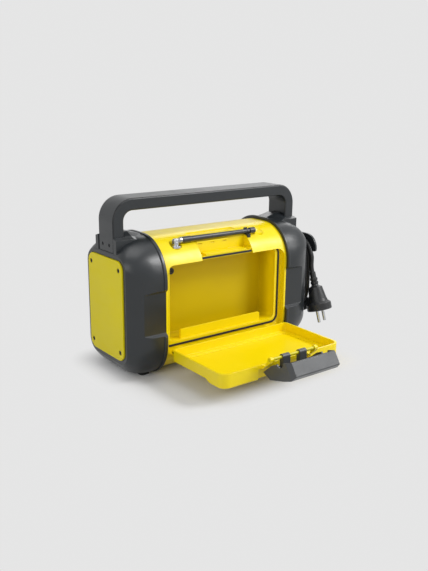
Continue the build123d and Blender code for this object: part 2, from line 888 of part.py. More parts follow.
# ---------------------------------------------------------------- door
with BuildPart() as door_tray:
    with BuildSketch(Plane.YZ.offset(-door_half)):
        with BuildLine():
            Polyline(
                (-door_back, door_rim),
                (-door_back, door_rim - door_shallow),
                (-door_step_start, door_rim - door_shallow),
                (-door_step_end, door_rim - door_deep),
                (-door_front, door_rim - door_deep),
                (-door_front, door_rim),
                close=True,
            )
        make_face()
    extrude(amount=2 * door_half)
    fillet(
        door_tray.edges().filter_by(Axis.Z).group_by(Axis.Y)[0],
        door_front_radius,
    )
    fillet(
        door_tray.edges().filter_by(Axis.Z).group_by(Axis.Y)[-1],
        door_back_radius,
    )
    fillet(door_tray.faces().sort_by(Axis.Z)[0].edges(), door_edge)
    with BuildSketch(Plane.XY.offset(door_rim - door_shallow + door_floor)):
        add(tray_outline(door_wall, door_front_radius - door_wall, door_back_radius - 2))
    extrude(amount=door_shallow, mode=Mode.SUBTRACT)
    with BuildSketch(Plane.XY.offset(door_rim - door_shallow + door_floor - panel_sink)):
        add(tray_outline(panel_margin, door_front_radius, door_back_radius))
    extrude(amount=door_shallow, mode=Mode.SUBTRACT)
    # Notch for the latch's tail, with the wall carried round inside it.
    add(
        block(
            -notch_half - door_wall,
            notch_half + door_wall,
            -door_front + 1,
            -door_front + notch_depth + door_wall,
            door_rim - door_shallow + 1,
            notch_top + 2.6,
        )
    )
    add(
        block(
            -notch_half,
            notch_half,
            -door_front - 1,
            -door_front + notch_depth,
            door_rim - door_deep - 1,
            notch_top,
        ),
        mode=Mode.SUBTRACT,
    )
    # Ears that carry the latch's bar in front of the rim.
    for side in (-1, 1):
        ear_start = min(side * (bar_half - 1), side * (bar_half - 1 + ear_thickness))
        with BuildSketch(Plane.YZ.offset(ear_start)):
            with BuildLine():
                Polyline(
                    (-door_front + 1, door_rim - 0.3),
                    (-door_front + 1, notch_top),
                    (-door_front - 2, notch_top + 0.6),
                    (-bar_y - 2.6, bar_z - 3.0),
                    (-bar_y + 2.6, bar_z + 1.7),
                    (-door_front - 7.2, door_rim - 0.3),
                    close=True,
                )
            make_face()
            with Locations((-bar_y, bar_z)):
                Circle(3.4)
                Circle(bar_radius, mode=Mode.SUBTRACT)
        extrude(amount=ear_thickness)
    # Hinge knuckles on the tray's back edge.
    for side in (-1, 1):
        knuckle_x = min(side * knuckle_start, side * (knuckle_start + knuckle_length))
        with BuildSketch(Plane.YZ.offset(knuckle_x)):
            with Locations((-hinge_y, hinge_z)):
                Circle(knuckle_radius)
            with Locations((-(hinge_y + door_back) / 2 - 1, hinge_z - 0.6)):
                Rectangle(door_back - hinge_y + 2, 2 * knuckle_radius - 1.2)
            with Locations((-hinge_y, hinge_z)):
                Circle(hinge_pin_radius + hinge_pin_gap, mode=Mode.SUBTRACT)
        extrude(amount=knuckle_length)

with BuildPart() as latch_bar:
    with BuildSketch(Plane.YZ.offset(-bar_half - ear_thickness + 1)):
        with Locations((-bar_y, bar_z)):
            Circle(bar_radius)
    extrude(amount=2 * (bar_half + ear_thickness - 1))

# ---------------------------------------------------------------- latch lever
# Side profile of the lever, as distances out from the bar and up from it.
lever_profile = [
    (-11.6, -19.6),
    (4.0, -6.0),
    (24.0, 3.4),
    (36.0, 7.2),
    (46.2, -8.4),
    (39.4, -15.4),
    (25.0, -20.4),
    (1.4, -26.2),
]
# Edges of its hollow, open towards the barrel.
lever_hollow = [
    (-6.6, -18.4),
    (0.5, 8.0),
    (33.0, 12.0),
    (34.0, 3.4),
    (40.5, -8.0),
    (37.5, -12.4),
    (24.6, -17.6),
    (2.4, -23.0),
]
# The folded mast as the latched lever sees it, turned back into the open lever's place.
closed_bar_y = -hinge_y + (bar_z - hinge_z)
closed_bar_z = hinge_z + (bar_y - hinge_y)
mast_up = -antenna_y - closed_bar_y
mast_out = antenna_z - closed_bar_z
turn = radians(latch_turn)
scoop_out = mast_out * cos(turn) + mast_up * sin(turn)
scoop_up = mast_up * cos(turn) - mast_out * sin(turn)
with BuildPart() as latch_lever:
    with BuildSketch(Plane.YZ.offset(-latch_half)):
        with BuildLine():
            Polyline(*[(-bar_y - out, bar_z + up) for out, up in lever_profile], close=True)
        make_face()
    extrude(amount=2 * latch_half)
    grip_middle = (Vector(*lever_profile[3]) + Vector(*lever_profile[4])) / 2
    grip_face = latch_lever.faces().sort_by_distance((0, -bar_y - grip_middle.X, bar_z + grip_middle.Y))[0]
    chamfer(
        grip_face.edges().filter_by(lambda edge: abs(edge.tangent_at(0).X) < 0.1),
        latch_bevel,
        latch_bevel_depth,
        reference=grip_face,
    )
    grip_face = latch_lever.faces().sort_by_distance((0, -bar_y - grip_middle.X, bar_z + grip_middle.Y))[0]
    chamfer(grip_face.edges().filter_by(Axis.X), latch_edge)
    with BuildSketch(Plane.YZ.offset(-latch_half + latch_wall)):
        with BuildLine():
            Polyline(*[(-bar_y - out, bar_z + up) for out, up in lever_hollow], close=True)
        make_face()
    extrude(amount=2 * (latch_half - latch_wall), mode=Mode.SUBTRACT)
    with BuildSketch(Plane.YZ.offset(-latch_half - 1)):
        with Locations((-bar_y - scoop_out, bar_z + scoop_up)):
            Circle(antenna_root_radius + 1.6)
    extrude(amount=2 * latch_half + 2, mode=Mode.SUBTRACT)
    # Two arms that hook round the bar.
    for side in (-1, 1):
        arm_x = min(side * arm_start, side * (arm_start + arm_width))
        with BuildSketch(Plane.YZ.offset(arm_x)):
            with Locations((-bar_y, bar_z)):
                Circle(arm_radius)
            with BuildLine():
                Polyline(
                    (-bar_y + 3.7, bar_z),
                    (-bar_y - 3.7, bar_z),
                    (-bar_y - 5.0, bar_z - 21.5),
                    (-bar_y + 1.0, bar_z - 22.8),
                    close=True,
                )
            make_face()
            with Locations((-bar_y, bar_z)):
                Circle(bar_radius + bar_gap, mode=Mode.SUBTRACT)
        extrude(amount=arm_width)

# ---------------------------------------------------------------- handle
with BuildPart() as handle_frame:
    with BuildSketch(Plane.XZ):
        add(arch(handle_half_span, handle_top, handle_foot, handle_outer_radius))
    extrude(amount=handle_half_depth, both=True)
    with BuildSketch(Plane.XZ):
        add(arch(inner_leg, handle_top - handle_section, handle_foot - 1, handle_inner_radius))
    extrude(amount=handle_half_depth + 1, both=True, mode=Mode.SUBTRACT)
    fillet(
        handle_frame.edges().filter_by(
            lambda edge: abs(abs(edge.center().Y) - handle_half_depth) < 0.01
            and edge.center().Z > handle_foot + 1
        ),
        handle_edge,
    )
    # Seat of the outer cover, and the hollow that it closes.
    with BuildSketch(Plane.XZ):
        add(arch(handle_half_span + 2, handle_top + 2, handle_foot - 2, handle_outer_radius + 2))
        add(
            arch(
                cover_span,
                handle_top - cover_thickness,
                handle_foot - 3,
                handle_outer_radius - cover_thickness,
            ),
            mode=Mode.SUBTRACT,
        )
    extrude(amount=cover_half_depth + 0.15, both=True, mode=Mode.SUBTRACT)
    with BuildSketch(Plane.XZ):
        add(arch(cover_span + 1, handle_top - 1, handle_foot + 22, handle_outer_radius))
        add(
            arch(
                cover_span - handle_hollow,
                handle_top - cover_thickness - handle_hollow,
                handle_foot + 21,
                handle_outer_radius - cover_thickness - handle_hollow,
            ),
            mode=Mode.SUBTRACT,
        )
    extrude(amount=cover_half_depth - 3, both=True, mode=Mode.SUBTRACT)

with BuildPart() as handle_cover:
    with BuildSketch(Plane.XZ):
        add(arch(handle_half_span, handle_top, handle_foot, handle_outer_radius))
        add(
            arch(
                cover_span,
                handle_top - cover_thickness,
                handle_foot - 1,
                handle_outer_radius - cover_thickness,
            ),
            mode=Mode.SUBTRACT,
        )
    extrude(amount=cover_half_depth, both=True)
    with Locations(
        Plane((handle_half_span, 0, leg_screw_z), x_dir=(0, 1, 0), z_dir=(1, 0, 0)),
        Plane((-handle_half_span, 0, leg_screw_z), x_dir=(0, 1, 0), z_dir=(-1, 0, 0)),
    ):
        with GridLocations(2 * leg_screw_y, 0, 2, 1):
            Hole(leg_screw_radius + 0.15, depth=cover_thickness + 0.2)

with BuildPart() as handle_screws:
    for side in (-1, 1):
        head_plane = Plane(
            (side * (handle_half_span - 0.6), 0, leg_screw_z), x_dir=(0, 1, 0), z_dir=(-side, 0, 0)
        )
        with BuildSketch(head_plane):
            with GridLocations(2 * leg_screw_y, 0, 2, 1):
                Circle(leg_screw_radius)
        extrude(amount=cover_thickness - 0.6)

# ---------------------------------------------------------------- antenna
with BuildPart() as antenna_swivel:
    with BuildSketch(Plane.XY.offset(antenna_z - 9.5)):
        with Locations((antenna_x, -antenna_y)):
            Circle(knuckle_pocket_radius - 1.2)
    extrude(amount=3.0)
    with BuildSketch(Plane.XY.offset(antenna_z - 6.5)):
        with Locations((antenna_x, -antenna_y)):
            Circle(4.4)
    extrude(amount=9.0)
    fillet(antenna_swivel.faces().sort_by(Axis.Z)[-1].edges(), 1.6)
    with BuildSketch(Plane.XZ.offset(antenna_y - 1.7)):
        with Locations((antenna_x, antenna_z + 1)):
            Rectangle(12, 10.4)
    extrude(amount=3.4, mode=Mode.SUBTRACT)
    with BuildSketch(Plane.XZ.offset(antenna_y - 5)):
        with Locations((antenna_x, antenna_z)):
            Circle(1.1)
    extrude(amount=10, mode=Mode.SUBTRACT)

with BuildPart() as antenna_pin:
    with BuildSketch(Plane.XZ.offset(antenna_y - 4)):
        with Locations((antenna_x, antenna_z)):
            Circle(1.1)
    extrude(amount=8)

with BuildPart() as antenna_coupling:
    with BuildSketch(Plane.XZ.offset(antenna_y - 1.5)):
        with Locations((antenna_x, antenna_z)):
            Circle(2.9)
        with Locations((antenna_x + 3.5, antenna_z)):
            Rectangle(7, 5.0)
        with Locations((antenna_x, antenna_z)):
            Circle(1.1 + 0.08, mode=Mode.SUBTRACT)
    extrude(amount=3.0)
    with BuildSketch(Plane.YZ.offset(antenna_x + 6)):
        with Locations((-antenna_y, antenna_z)):
            Circle(antenna_root_radius)
    extrude(amount=ferrule_start - 6)
    chamfer(antenna_coupling.faces().sort_by(Axis.X)[-1].edges(), 0.5)

with BuildPart() as antenna_mast:
    with BuildSketch(Plane.YZ.offset(antenna_x + ferrule_start)):
        with Locations((-antenna_y, antenna_z)):
            Circle(antenna_root_radius)
    extrude(amount=ferrule_length)
    chamfer(antenna_mast.faces().sort_by(Axis.X)[-1].edges(), 0.5)
    with BuildSketch(Plane.YZ.offset(antenna_x + ferrule_start + ferrule_length)):
        with Locations((-antenna_y, antenna_z)):
            Circle(antenna_middle_radius)
    with BuildSketch(Plane.YZ.offset(antenna_x + antenna_length - antenna_button_length)):
        with Locations((-antenna_y, antenna_z)):
            Circle(antenna_tip_radius)
    loft()
    with BuildSketch(Plane.YZ.offset(antenna_x + antenna_length - antenna_button_length)):
        with Locations((-antenna_y, antenna_z)):
            Circle(antenna_button_radius)
    extrude(amount=antenna_button_length)
    fillet(antenna_mast.faces().sort_by(Axis.X)[-1].edges(), 1.6)

# A floor and a prong behind the mast, so that it can be lifted or swung out of them.
clip_bore = antenna_tip_radius + clip_gap
with BuildPart() as antenna_clip:
    with BuildSketch(Plane.YZ.offset(clip_x - clip_length)):
        with BuildLine():
            Polyline(
                (-antenna_y - clip_reach, antenna_z - clip_bore),
                (-antenna_y + clip_bore, antenna_z - clip_bore),
                (-antenna_y + clip_bore, antenna_z + clip_rise),
                (-antenna_y + clip_bore + clip_wall, antenna_z + clip_rise - 0.8),
                (-antenna_y + clip_bore + clip_wall, antenna_z - clip_bore - 6),
                (-antenna_y - clip_reach, antenna_z - clip_bore - 6),
                close=True,
            )
        make_face()
    extrude(amount=clip_length)
    add(barrel_shell.part, mode=Mode.SUBTRACT)

# ---------------------------------------------------------------- speaker side
with BuildPart() as front_fascia:
    add(
        mirror(
            round_plate(
                fascia_half - fit_gap,
                fascia_bottom + fit_gap,
                fascia_top - fit_gap,
                fascia_radius - fit_gap,
                fascia_front,
                fascia_back,
            ),
            about=Plane.XZ,
        )
    )
    fillet(front_fascia.faces().sort_by(Axis.Y)[-1].edges(), fascia_edge)
    add(
        mirror(
            round_plate(
                fascia_half - fascia_ledge,
                fascia_bottom + fascia_ledge,
                fascia_top - fascia_ledge,
                fascia_radius - fascia_ledge / 2,
                fascia_front - fascia_skin,
                fascia_back - 1,
            ),
            about=Plane.XZ,
        ),
        mode=Mode.SUBTRACT,
    )
    with BuildSketch(Plane.XZ.offset(-fascia_front - 1)):
        with Locations((-speaker_x, speaker_z), (speaker_x, speaker_z)):
            Circle(speaker_hole)
        with Locations((0, display_z)):
            RectangleRounded(display_width, display_height, 2)
        with Locations((-knob_x, knob_z), (knob_x, knob_z)):
            Circle(shaft_radius + 0.8)
        for row in button_rows:
            with Locations((0, row)):
                with GridLocations(button_pitch, 0, 3, 1):
                    Circle(button_radius + button_gap)
    extrude(amount=20, mode=Mode.SUBTRACT)
    # Posts that carry the main board.
    with BuildSketch(Plane.XZ.offset(-fascia_front + fascia_skin)):
        with Locations((0, (board_post_bottom + board_post_top) / 2)):
            with GridLocations(
                board_width - 3 * post_radius, board_post_top - board_post_bottom, 2, 2
            ):
                Circle(post_radius)
    extrude(amount=fascia_front - fascia_skin - board_y)

with BuildPart() as speaker_grilles:
    with BuildSketch(Plane.XZ.offset(-fascia_front + 0.6 + grille_thickness)):
        with Locations((-speaker_x, speaker_z), (speaker_x, speaker_z)):
            Circle(speaker_hole)
        for slot in range(grille_slots):
            height = (slot - (grille_slots - 1) / 2) * 2 * (speaker_hole - 3) / grille_slots
            half = sqrt((speaker_hole - 4) ** 2 - height**2)
            with Locations((-speaker_x, speaker_z + height), (speaker_x, speaker_z + height)):
                SlotOverall(2 * half, grille_slot_width, mode=Mode.SUBTRACT)
    extrude(amount=-grille_thickness)

with BuildPart() as speaker_frames:
    for side in (-1, 1):
        with BuildSketch(Plane.XZ.offset(-fascia_front + fascia_skin + 2.0)):
            with Locations((side * speaker_x, speaker_z)):
                Circle(speaker_flange)
                Circle(speaker_hole - 3, mode=Mode.SUBTRACT)
        extrude(amount=-2.0)
        with BuildSketch(Plane.XZ.offset(-fascia_front + fascia_skin + 2.0)):
            with Locations((side * speaker_x, speaker_z)):
                Circle(speaker_hole - 1)
                Circle(speaker_hole - 3, mode=Mode.SUBTRACT)
        with BuildSketch(Plane.XZ.offset(-fascia_front + fascia_skin + speaker_depth - 8)):
            with Locations((side * speaker_x, speaker_z)):
                Circle(magnet_radius + 1)
                Circle(magnet_radius - 1, mode=Mode.SUBTRACT)
        loft()
        with BuildSketch(Plane.XZ.offset(-fascia_front + fascia_skin + speaker_depth)):
            with Locations((side * speaker_x, speaker_z)):
                Circle(magnet_radius + 1)
        extrude(amount=-8)

with BuildPart() as speaker_magnets:
    with BuildSketch(Plane.XZ.offset(-fascia_front + fascia_skin + speaker_depth)):
        with Locations((-speaker_x, speaker_z), (speaker_x, speaker_z)):
            Circle(magnet_radius)
    extrude(amount=magnet_height)

with BuildPart() as speaker_cones:
    for side in (-1, 1):
        with BuildSketch(Plane((side * speaker_x, 0, speaker_z), x_dir=(1, 0, 0), z_dir=(0, 0, 1))):
            with BuildLine():
                rim_y = fascia_front - fascia_skin - cone_gap
                cone_radius = speaker_hole - cone_margin
                Polyline(
                    (cone_radius, rim_y),
                    (cone_radius - cone_rim, rim_y),
                    (cone_neck, rim_y - cone_depth),
                    (cap_neck, rim_y - cap_depth - cap_dip),
                    (0, rim_y - cap_depth),
                    (0, rim_y - cap_depth - cone_wall),
                    (cap_neck, rim_y - cap_depth - cap_dip - cone_wall),
                    (cone_neck + cone_wall / 2, rim_y - cone_depth - 4 / 3 * cone_wall),
                    (cone_radius - cone_wall, rim_y - cone_wall),
                    (cone_radius, rim_y - cone_wall),
                    close=True,
                )
            make_face()
        revolve(axis=Axis((side * speaker_x, 0, speaker_z), (0, 1, 0)))

with BuildPart() as display_window:
    with BuildSketch(Plane.XZ.offset(-fascia_front + fascia_skin)):
        with Locations((0, display_z)):
            RectangleRounded(display_width - 0.2, display_height - 0.2, 1.9)
    extrude(amount=-fascia_skin + 0.4)

with BuildPart() as main_board:
    with BuildSketch(Plane.XZ.offset(-board_y)):
        with Locations((0, board_bottom + board_height / 2)):
            Rectangle(board_width, board_height)
    extrude(amount=board_thickness)

with BuildPart() as encoders:
    with BuildSketch(Plane.XZ.offset(-board_y)):
        with Locations((-knob_x, knob_z), (knob_x, knob_z)):
            Rectangle(encoder_width, encoder_width)
    extrude(amount=-encoder_height)
    with BuildSketch(Plane.XZ.offset(-board_y - encoder_height)):
        with Locations((-knob_x, knob_z), (knob_x, knob_z)):
            Circle(shaft_radius)
    extrude(amount=-(fascia_front - board_y - encoder_height + knob_height - shaft_short))


def make_knob(x):
    """A fluted control knob on the fascia at that x, with the bore for its shaft."""
    with BuildPart() as knob:
        with BuildSketch(Plane.XZ.offset(-fascia_front - 0.6)):
            with Locations((x, knob_z)):
                Circle(knob_radius)
                with PolarLocations(knob_radius + 0.5, knob_flutes):
                    Circle(1.2, mode=Mode.SUBTRACT)
        extrude(amount=-knob_height)
        with BuildSketch(Plane.XZ.offset(-fascia_front)):
            with Locations((x, knob_z)):
                Circle(shaft_radius + shaft_gap)
        extrude(amount=-(knob_height - 2.4), mode=Mode.SUBTRACT)
    return knob.part


with BuildPart() as volume_knob:
    add(make_knob(-knob_x))
with BuildPart() as tuning_knob:
    add(make_knob(knob_x))


def make_button(x, z):
    """A round push button with the collar that keeps it behind the fascia."""
    with BuildPart() as button:
        with BuildSketch(Plane.XZ.offset(-fascia_front + fascia_skin + 0.2)):
            with Locations((x, z)):
                Circle(button_radius)
        extrude(amount=-(fascia_skin + 0.2 + button_proud))
        fillet(button.faces().sort_by(Axis.Y)[-1].edges(), 0.8)
        with BuildSketch(Plane.XZ.offset(-fascia_front + fascia_skin + 0.2)):
            with Locations((x, z)):
                Circle(button_radius + 1.2)
        extrude(amount=1.6)
    return button.part


buttons = []
for row in button_rows:
    for column in (-1, 0, 1):
        with BuildPart() as button:
            add(make_button(-column * button_pitch, row))
        buttons.append(button)

with BuildPart() as button_switches:
    with BuildSketch(Plane.XZ.offset(-board_y)):
        for row in button_rows:
            with Locations((0, row)):
                with GridLocations(button_pitch, 0, 3, 1):
                    Rectangle(6, 6)
    extrude(amount=-(fascia_front - fascia_skin - 0.2 - 1.6 - button_travel - 0.3 - board_y))

# ---------------------------------------------------------------- power supply
with BuildPart() as power_supply:
    with BuildSketch(Plane.XY.offset(barrel_bottom + barrel_wall)):
        Rectangle(supply_length, supply_width)
    extrude(amount=supply_height)

# ---------------------------------------------------------------- feet
with BuildPart() as rubber_feet:
    for side in (-1, 1):
        with BuildSketch(Plane.XY):
            with Locations((side * foot_x, 0)):
                with GridLocations(0, 2 * foot_y, 1, 2):
                    RectangleRounded(foot_length, foot_width, 4)
        extrude(amount=barrel_bottom + 6)
    add(cap_solid(0, cap_end), mode=Mode.SUBTRACT)
    add(mirror(cap_solid(0, cap_end), about=Plane.YZ), mode=Mode.SUBTRACT)

# ---------------------------------------------------------------- cord wrap on the +X end
def loop_outline(grow, mode=Mode.ADD):
    """Draw the winding's loop in the open YZ sketch: the saddles' outline grown by grow."""
    with Locations((0, panel_middle)):
        RectangleRounded(
            2 * (saddle_half_depth + grow),
            2 * (saddle_half_height + grow),
            saddle_radius + grow,
            mode=mode,
        )


with BuildPart() as cord_wrap:
    with BuildSketch(Plane.YZ.offset(panel_seat)):
        with Locations((0, panel_middle)):
            RectangleRounded(panel_depth, panel_height, panel_radius)
            with GridLocations(2 * panel_screw_y, 2 * panel_screw_z, 2, 2):
                Circle(1.9, mode=Mode.SUBTRACT)
    extrude(amount=panel_thickness)
    with BuildSketch(Plane.YZ.offset(panel_face)):
        loop_outline(winding_depth)
        loop_outline(-saddle_wall, mode=Mode.SUBTRACT)
        with Locations((0, panel_middle)):
            with GridLocations(2 * panel_screw_y, 2 * panel_screw_z, 2, 2):
                Circle(3.4, mode=Mode.SUBTRACT)
    extrude(amount=wrap_plateau)
    # The two saddles are the ends of the loop.
    for toward in (-1, 1):
        with BuildSketch(Plane.YZ.offset(wrap_face)):
            loop_outline(0)
            loop_outline(-saddle_wall, mode=Mode.SUBTRACT)
            reach_middle = panel_middle + toward * (saddle_half_height - saddle_reach / 2)
            with Locations((0, reach_middle)):
                Rectangle(3 * saddle_half_depth, saddle_reach, mode=Mode.INTERSECT)
        extrude(amount=winding_end + cord_gap - wrap_face)
    # Their outer flanges keep the winding on.
    for half, cut, end in (
        (flange_upper_half, flange_upper_cut, flange_upper_top),
        (flange_lower_half, flange_lower_cut, flange_lower_bottom),
    ):
        with BuildSketch(Plane.YZ.offset(flange_inner_x)):
            with Locations((0, (cut + end) / 2)):
                Rectangle(2 * half, abs(end - cut))
            rounded_end = -1 if end > cut else 0
            square_end = 0 if end > cut else -1
            fillet(vertices().group_by(Axis.Y)[rounded_end], flange_radius)
            fillet(vertices().group_by(Axis.Y)[square_end], flange_tip_radius)
            loop_outline(-saddle_wall, mode=Mode.SUBTRACT)
        extrude(amount=flange_thickness)

with BuildPart() as cord_wrap_screws:
    with BuildSketch(Plane.YZ.offset(panel_seat - end_wall)):
        with Locations((0, panel_middle)):
            with GridLocations(2 * panel_screw_y, 2 * panel_screw_z, 2, 2):
                Circle(1.25)
    extrude(amount=end_wall + panel_thickness)
    with BuildSketch(Plane.YZ.offset(panel_face)):
        with Locations((0, panel_middle)):
            with GridLocations(2 * panel_screw_y, 2 * panel_screw_z, 2, 2):
                Circle(3.0)
    extrude(amount=1.6)

# ---------------------------------------------------------------- mains lead
def corner_radii(points):
    """Radius of the arc at each inner corner of a route: as large as its two runs allow."""
    radii = []
    for before, here, after in zip(points, points[1:], points[2:]):
        run_in = Vector(*here) - Vector(*before)
        run_out = Vector(*after) - Vector(*here)
        half_turn = radians(run_in.get_angle(run_out)) / 2
        radii.append(0.45 * min(run_in.length, run_out.length) / tan(half_turn))
    return radii


def make_tube(name, points):
    """A cord's tube along a route of straight runs joined by tangent arcs."""
    tube_radii = corner_radii(points)
    with BuildPart() as tube:
        with BuildLine() as route:
            FilletPolyline(*points, radius=tube_radii)
        with BuildSketch(Plane(route.line @ 0, z_dir=route.line % 0)):
            Circle(cord_diameter / 2)
        sweep(path=route.line)
    length = sum(edge.length for edge in route.edges())
    share = tube.part.volume / (pi * cord_diameter**2 / 4 * length)
    print(name, "radii", [round(radius, 1) for radius in tube_radii], "volume share", round(share, 4))
    return tube.part


with BuildPart() as cord_lead:
    add(make_tube("lead", lead_points))
with BuildPart() as cord_tail:
    add(make_tube("tail", tail_points))

last_turn_x = tail_points[0][0]
last_turn_grow = -tail_points[0][1] - saddle_half_depth
corner_height = panel_middle + saddle_half_height - saddle_radius
last_turn_corner = saddle_radius + last_turn_grow
with BuildPart() as cord_coil:
    with BuildSketch(Plane.YZ.offset(winding_start)):
        loop_outline(cord_gap + winding_depth)
        loop_outline(cord_gap, mode=Mode.SUBTRACT)
    extrude(amount=winding_end - winding_start)
    # The last turn lies on the others and lets the tail go on the door's side.
    with BuildLine() as last_turn:
        flank = saddle_half_depth - saddle_radius
        FilletPolyline(
            (last_turn_x, flank + last_turn_corner - cord_diameter, panel_middle - 28),
            (last_turn_x, flank + last_turn_corner, panel_middle),
            (last_turn_x, flank + last_turn_corner, corner_height),
            radius=turn_ease,
        )
        TangentArc(
            (last_turn_x, flank + last_turn_corner, corner_height),
            (last_turn_x, flank, corner_height + last_turn_corner),
            tangent=(0, 0, 1),
        )
        Line(
            (last_turn_x, flank, corner_height + last_turn_corner),
            (last_turn_x, -flank, corner_height + last_turn_corner),
        )
        TangentArc(
            (last_turn_x, -flank, corner_height + last_turn_corner),
            (last_turn_x, -flank - last_turn_corner, corner_height),
            tangent=(0, -1, 0),
        )
    with BuildSketch(Plane(last_turn.line @ 0, z_dir=last_turn.line % 0)):
        Circle(cord_diameter / 2)
    sweep(path=last_turn.line)
    # The lead's last stretch slips in between the turns.
    with BuildLine() as join:
        Line(lead_points[-1], lead_join)
    with BuildSketch(Plane(join.line @ 0, z_dir=join.line % 0)):
        Circle(cord_diameter / 2)
    sweep(path=join.line)

# The cord comes out of a gland inside the winding, pointing up.
gland_x, gland_y, relief_top = lead_points[0]
gland_top = relief_top - relief_length
with BuildPart() as cord_gland:
    with BuildSketch(Plane.YZ.offset(panel_face)):
        with Locations((gland_y, gland_top - gland_length / 2)):
            RectangleRounded(2 * gland_radius, gland_length + 2, 2)
    extrude(amount=gland_x - panel_face)
    with BuildSketch(Plane.XY.offset(gland_top - gland_length)):
        with Locations((gland_x, gland_y)):
            Circle(gland_radius)
    extrude(amount=gland_length)
    with BuildSketch(Plane.XY.offset(gland_top)):
        with Locations((gland_x, gland_y)):
            Circle(gland_radius - 0.5)
    with BuildSketch(Plane.XY.offset(relief_top)):
        with Locations((gland_x, gland_y)):
            Circle(cord_diameter / 2 + 0.4)
    loft()

# The plug's axis runs from the tail's end to the middle of its face.
plug_axis = (Vector(*plug_tip) - Vector(*tail_points[-1])).normalized()
plug_start = Vector(*tail_points[-1]) + plug_axis * joint_gap
plug_length = (Vector(*plug_tip) - plug_start).length
plug_profile = [
    (0, 0),
    (4.0, 0),
    (4.7, 0.8),
    (4.7, 9.0),
    (6.0, 10.2),
    (6.0, 13.4),
    (4.9, 14.2),
    (4.9, 15.2),
    (6.1, 16.0),
    (6.1, 19.2),
    (5.2, 20.0),
    (6.0, 22.4),
    (10.6, 24.6),
    (14.2, 43.5),
    (15.6, 47.6),
    (plug_face_radius, 51.0),
    (plug_face_radius, plug_length - 1.0),
    (plug_face_radius - 1.0, plug_length),
    (0, plug_length),
]
plug_plane = Plane(plug_start, x_dir=(0.94, 0.33, 0), z_dir=plug_axis)
with BuildPart() as mains_plug:
    with BuildSketch(Plane(plug_start, x_dir=plug_plane.x_dir, z_dir=-plug_plane.y_dir)):
        with BuildLine():
            Polyline(*plug_profile, close=True)
        make_face()
    revolve(axis=Axis(plug_start, plug_axis))

with BuildPart() as plug_pins:
    with BuildSketch(plug_plane.offset(plug_length)):
        with GridLocations(plug_pin_spacing, 0, 2, 1):
            Circle(plug_pin_radius)
    extrude(amount=plug_pin_length)
    fillet(plug_pins.faces().sort_by(Axis(plug_start, plug_axis))[-2:].edges(), 1.2)

# ---------------------------------------------------------------- written out
nodes = {
    "barrel_shell": barrel_shell,
    "left_end_cap": left_end_cap,
    "right_end_cap": right_end_cap,
    "left_side_panel": left_side_panel,
    "side_panel_screws": side_panel_screws,
    "handle_frame": handle_frame,
    "handle_cover": handle_cover,
    "handle_screws": handle_screws,
    "compartment_liner": compartment_liner,
    "socket_plate": socket_plate,
    "door_seal": door_seal,
    "latch_keeper": latch_keeper,
    "hinge_pins": hinge_pins,
    "door_tray": door_tray,
    "latch_bar": latch_bar,
    "latch_lever": latch_lever,
    "antenna_swivel": antenna_swivel,
    "antenna_pin": antenna_pin,
    "antenna_coupling": antenna_coupling,
    "antenna_mast": antenna_mast,
    "antenna_clip": antenna_clip,
    "front_fascia": front_fascia,
    "speaker_grilles": speaker_grilles,
    "speaker_frames": speaker_frames,
    "speaker_cones": speaker_cones,
    "speaker_magnets": speaker_magnets,
    "display_window": display_window,
    "main_board": main_board,
    "encoders": encoders,
    "volume_knob": volume_knob,
    "tuning_knob": tuning_knob,
    "button_switches": button_switches,
    "power_supply": power_supply,
    "rubber_feet": rubber_feet,
    "cord_wrap": cord_wrap,
    "cord_wrap_screws": cord_wrap_screws,
    "cord_gland": cord_gland,
    "cord_lead": cord_lead,
    "cord_coil": cord_coil,
    "cord_tail": cord_tail,
    "mains_plug": mains_plug,
    "plug_pins": plug_pins,
}
for number, button in enumerate(buttons, start=1):
    nodes[f"button_{number}"] = button
for name, piece in nodes.items():
    piece.part.label = name
    export_step(piece.part, f"parts/{name}.step")
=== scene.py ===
"""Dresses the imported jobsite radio: finishes for every part, mains lead, small fittings, studio.

Everything is in metres in the part's own frame: X along the radio, -Y out of the compartment's
door, Z up, the floor at zero. Sizes that are easier to read in millimetres go through mm().
"""

from __future__ import annotations

import json
import logging
import math
from abc import ABC, abstractmethod
from dataclasses import dataclass
from enum import Enum
from typing import Any, Iterable, Mapping, Optional, Sequence, Tuple, Union

import bmesh
import bpy
from mathutils import Matrix, Vector

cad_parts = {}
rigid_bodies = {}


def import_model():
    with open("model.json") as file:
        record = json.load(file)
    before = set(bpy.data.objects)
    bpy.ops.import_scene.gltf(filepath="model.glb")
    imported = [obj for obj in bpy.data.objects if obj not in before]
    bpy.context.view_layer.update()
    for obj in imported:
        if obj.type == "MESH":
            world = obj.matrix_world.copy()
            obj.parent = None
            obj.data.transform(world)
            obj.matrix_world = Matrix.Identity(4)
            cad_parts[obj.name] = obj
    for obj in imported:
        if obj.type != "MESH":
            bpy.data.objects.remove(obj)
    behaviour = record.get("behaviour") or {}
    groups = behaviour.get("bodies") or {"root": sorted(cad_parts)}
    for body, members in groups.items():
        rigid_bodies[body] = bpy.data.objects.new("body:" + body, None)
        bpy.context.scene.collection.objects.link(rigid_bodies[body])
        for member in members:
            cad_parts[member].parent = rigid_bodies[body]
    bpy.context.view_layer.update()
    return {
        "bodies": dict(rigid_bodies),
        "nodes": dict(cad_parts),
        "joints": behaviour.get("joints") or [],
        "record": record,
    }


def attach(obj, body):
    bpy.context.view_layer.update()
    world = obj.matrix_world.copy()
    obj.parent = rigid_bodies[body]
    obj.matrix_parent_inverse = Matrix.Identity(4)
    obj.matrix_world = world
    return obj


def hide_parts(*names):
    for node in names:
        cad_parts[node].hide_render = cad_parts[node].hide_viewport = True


log = logging.getLogger("jobsite_radio")

Colour = Tuple[float, float, float]
Point = Tuple[float, float, float]
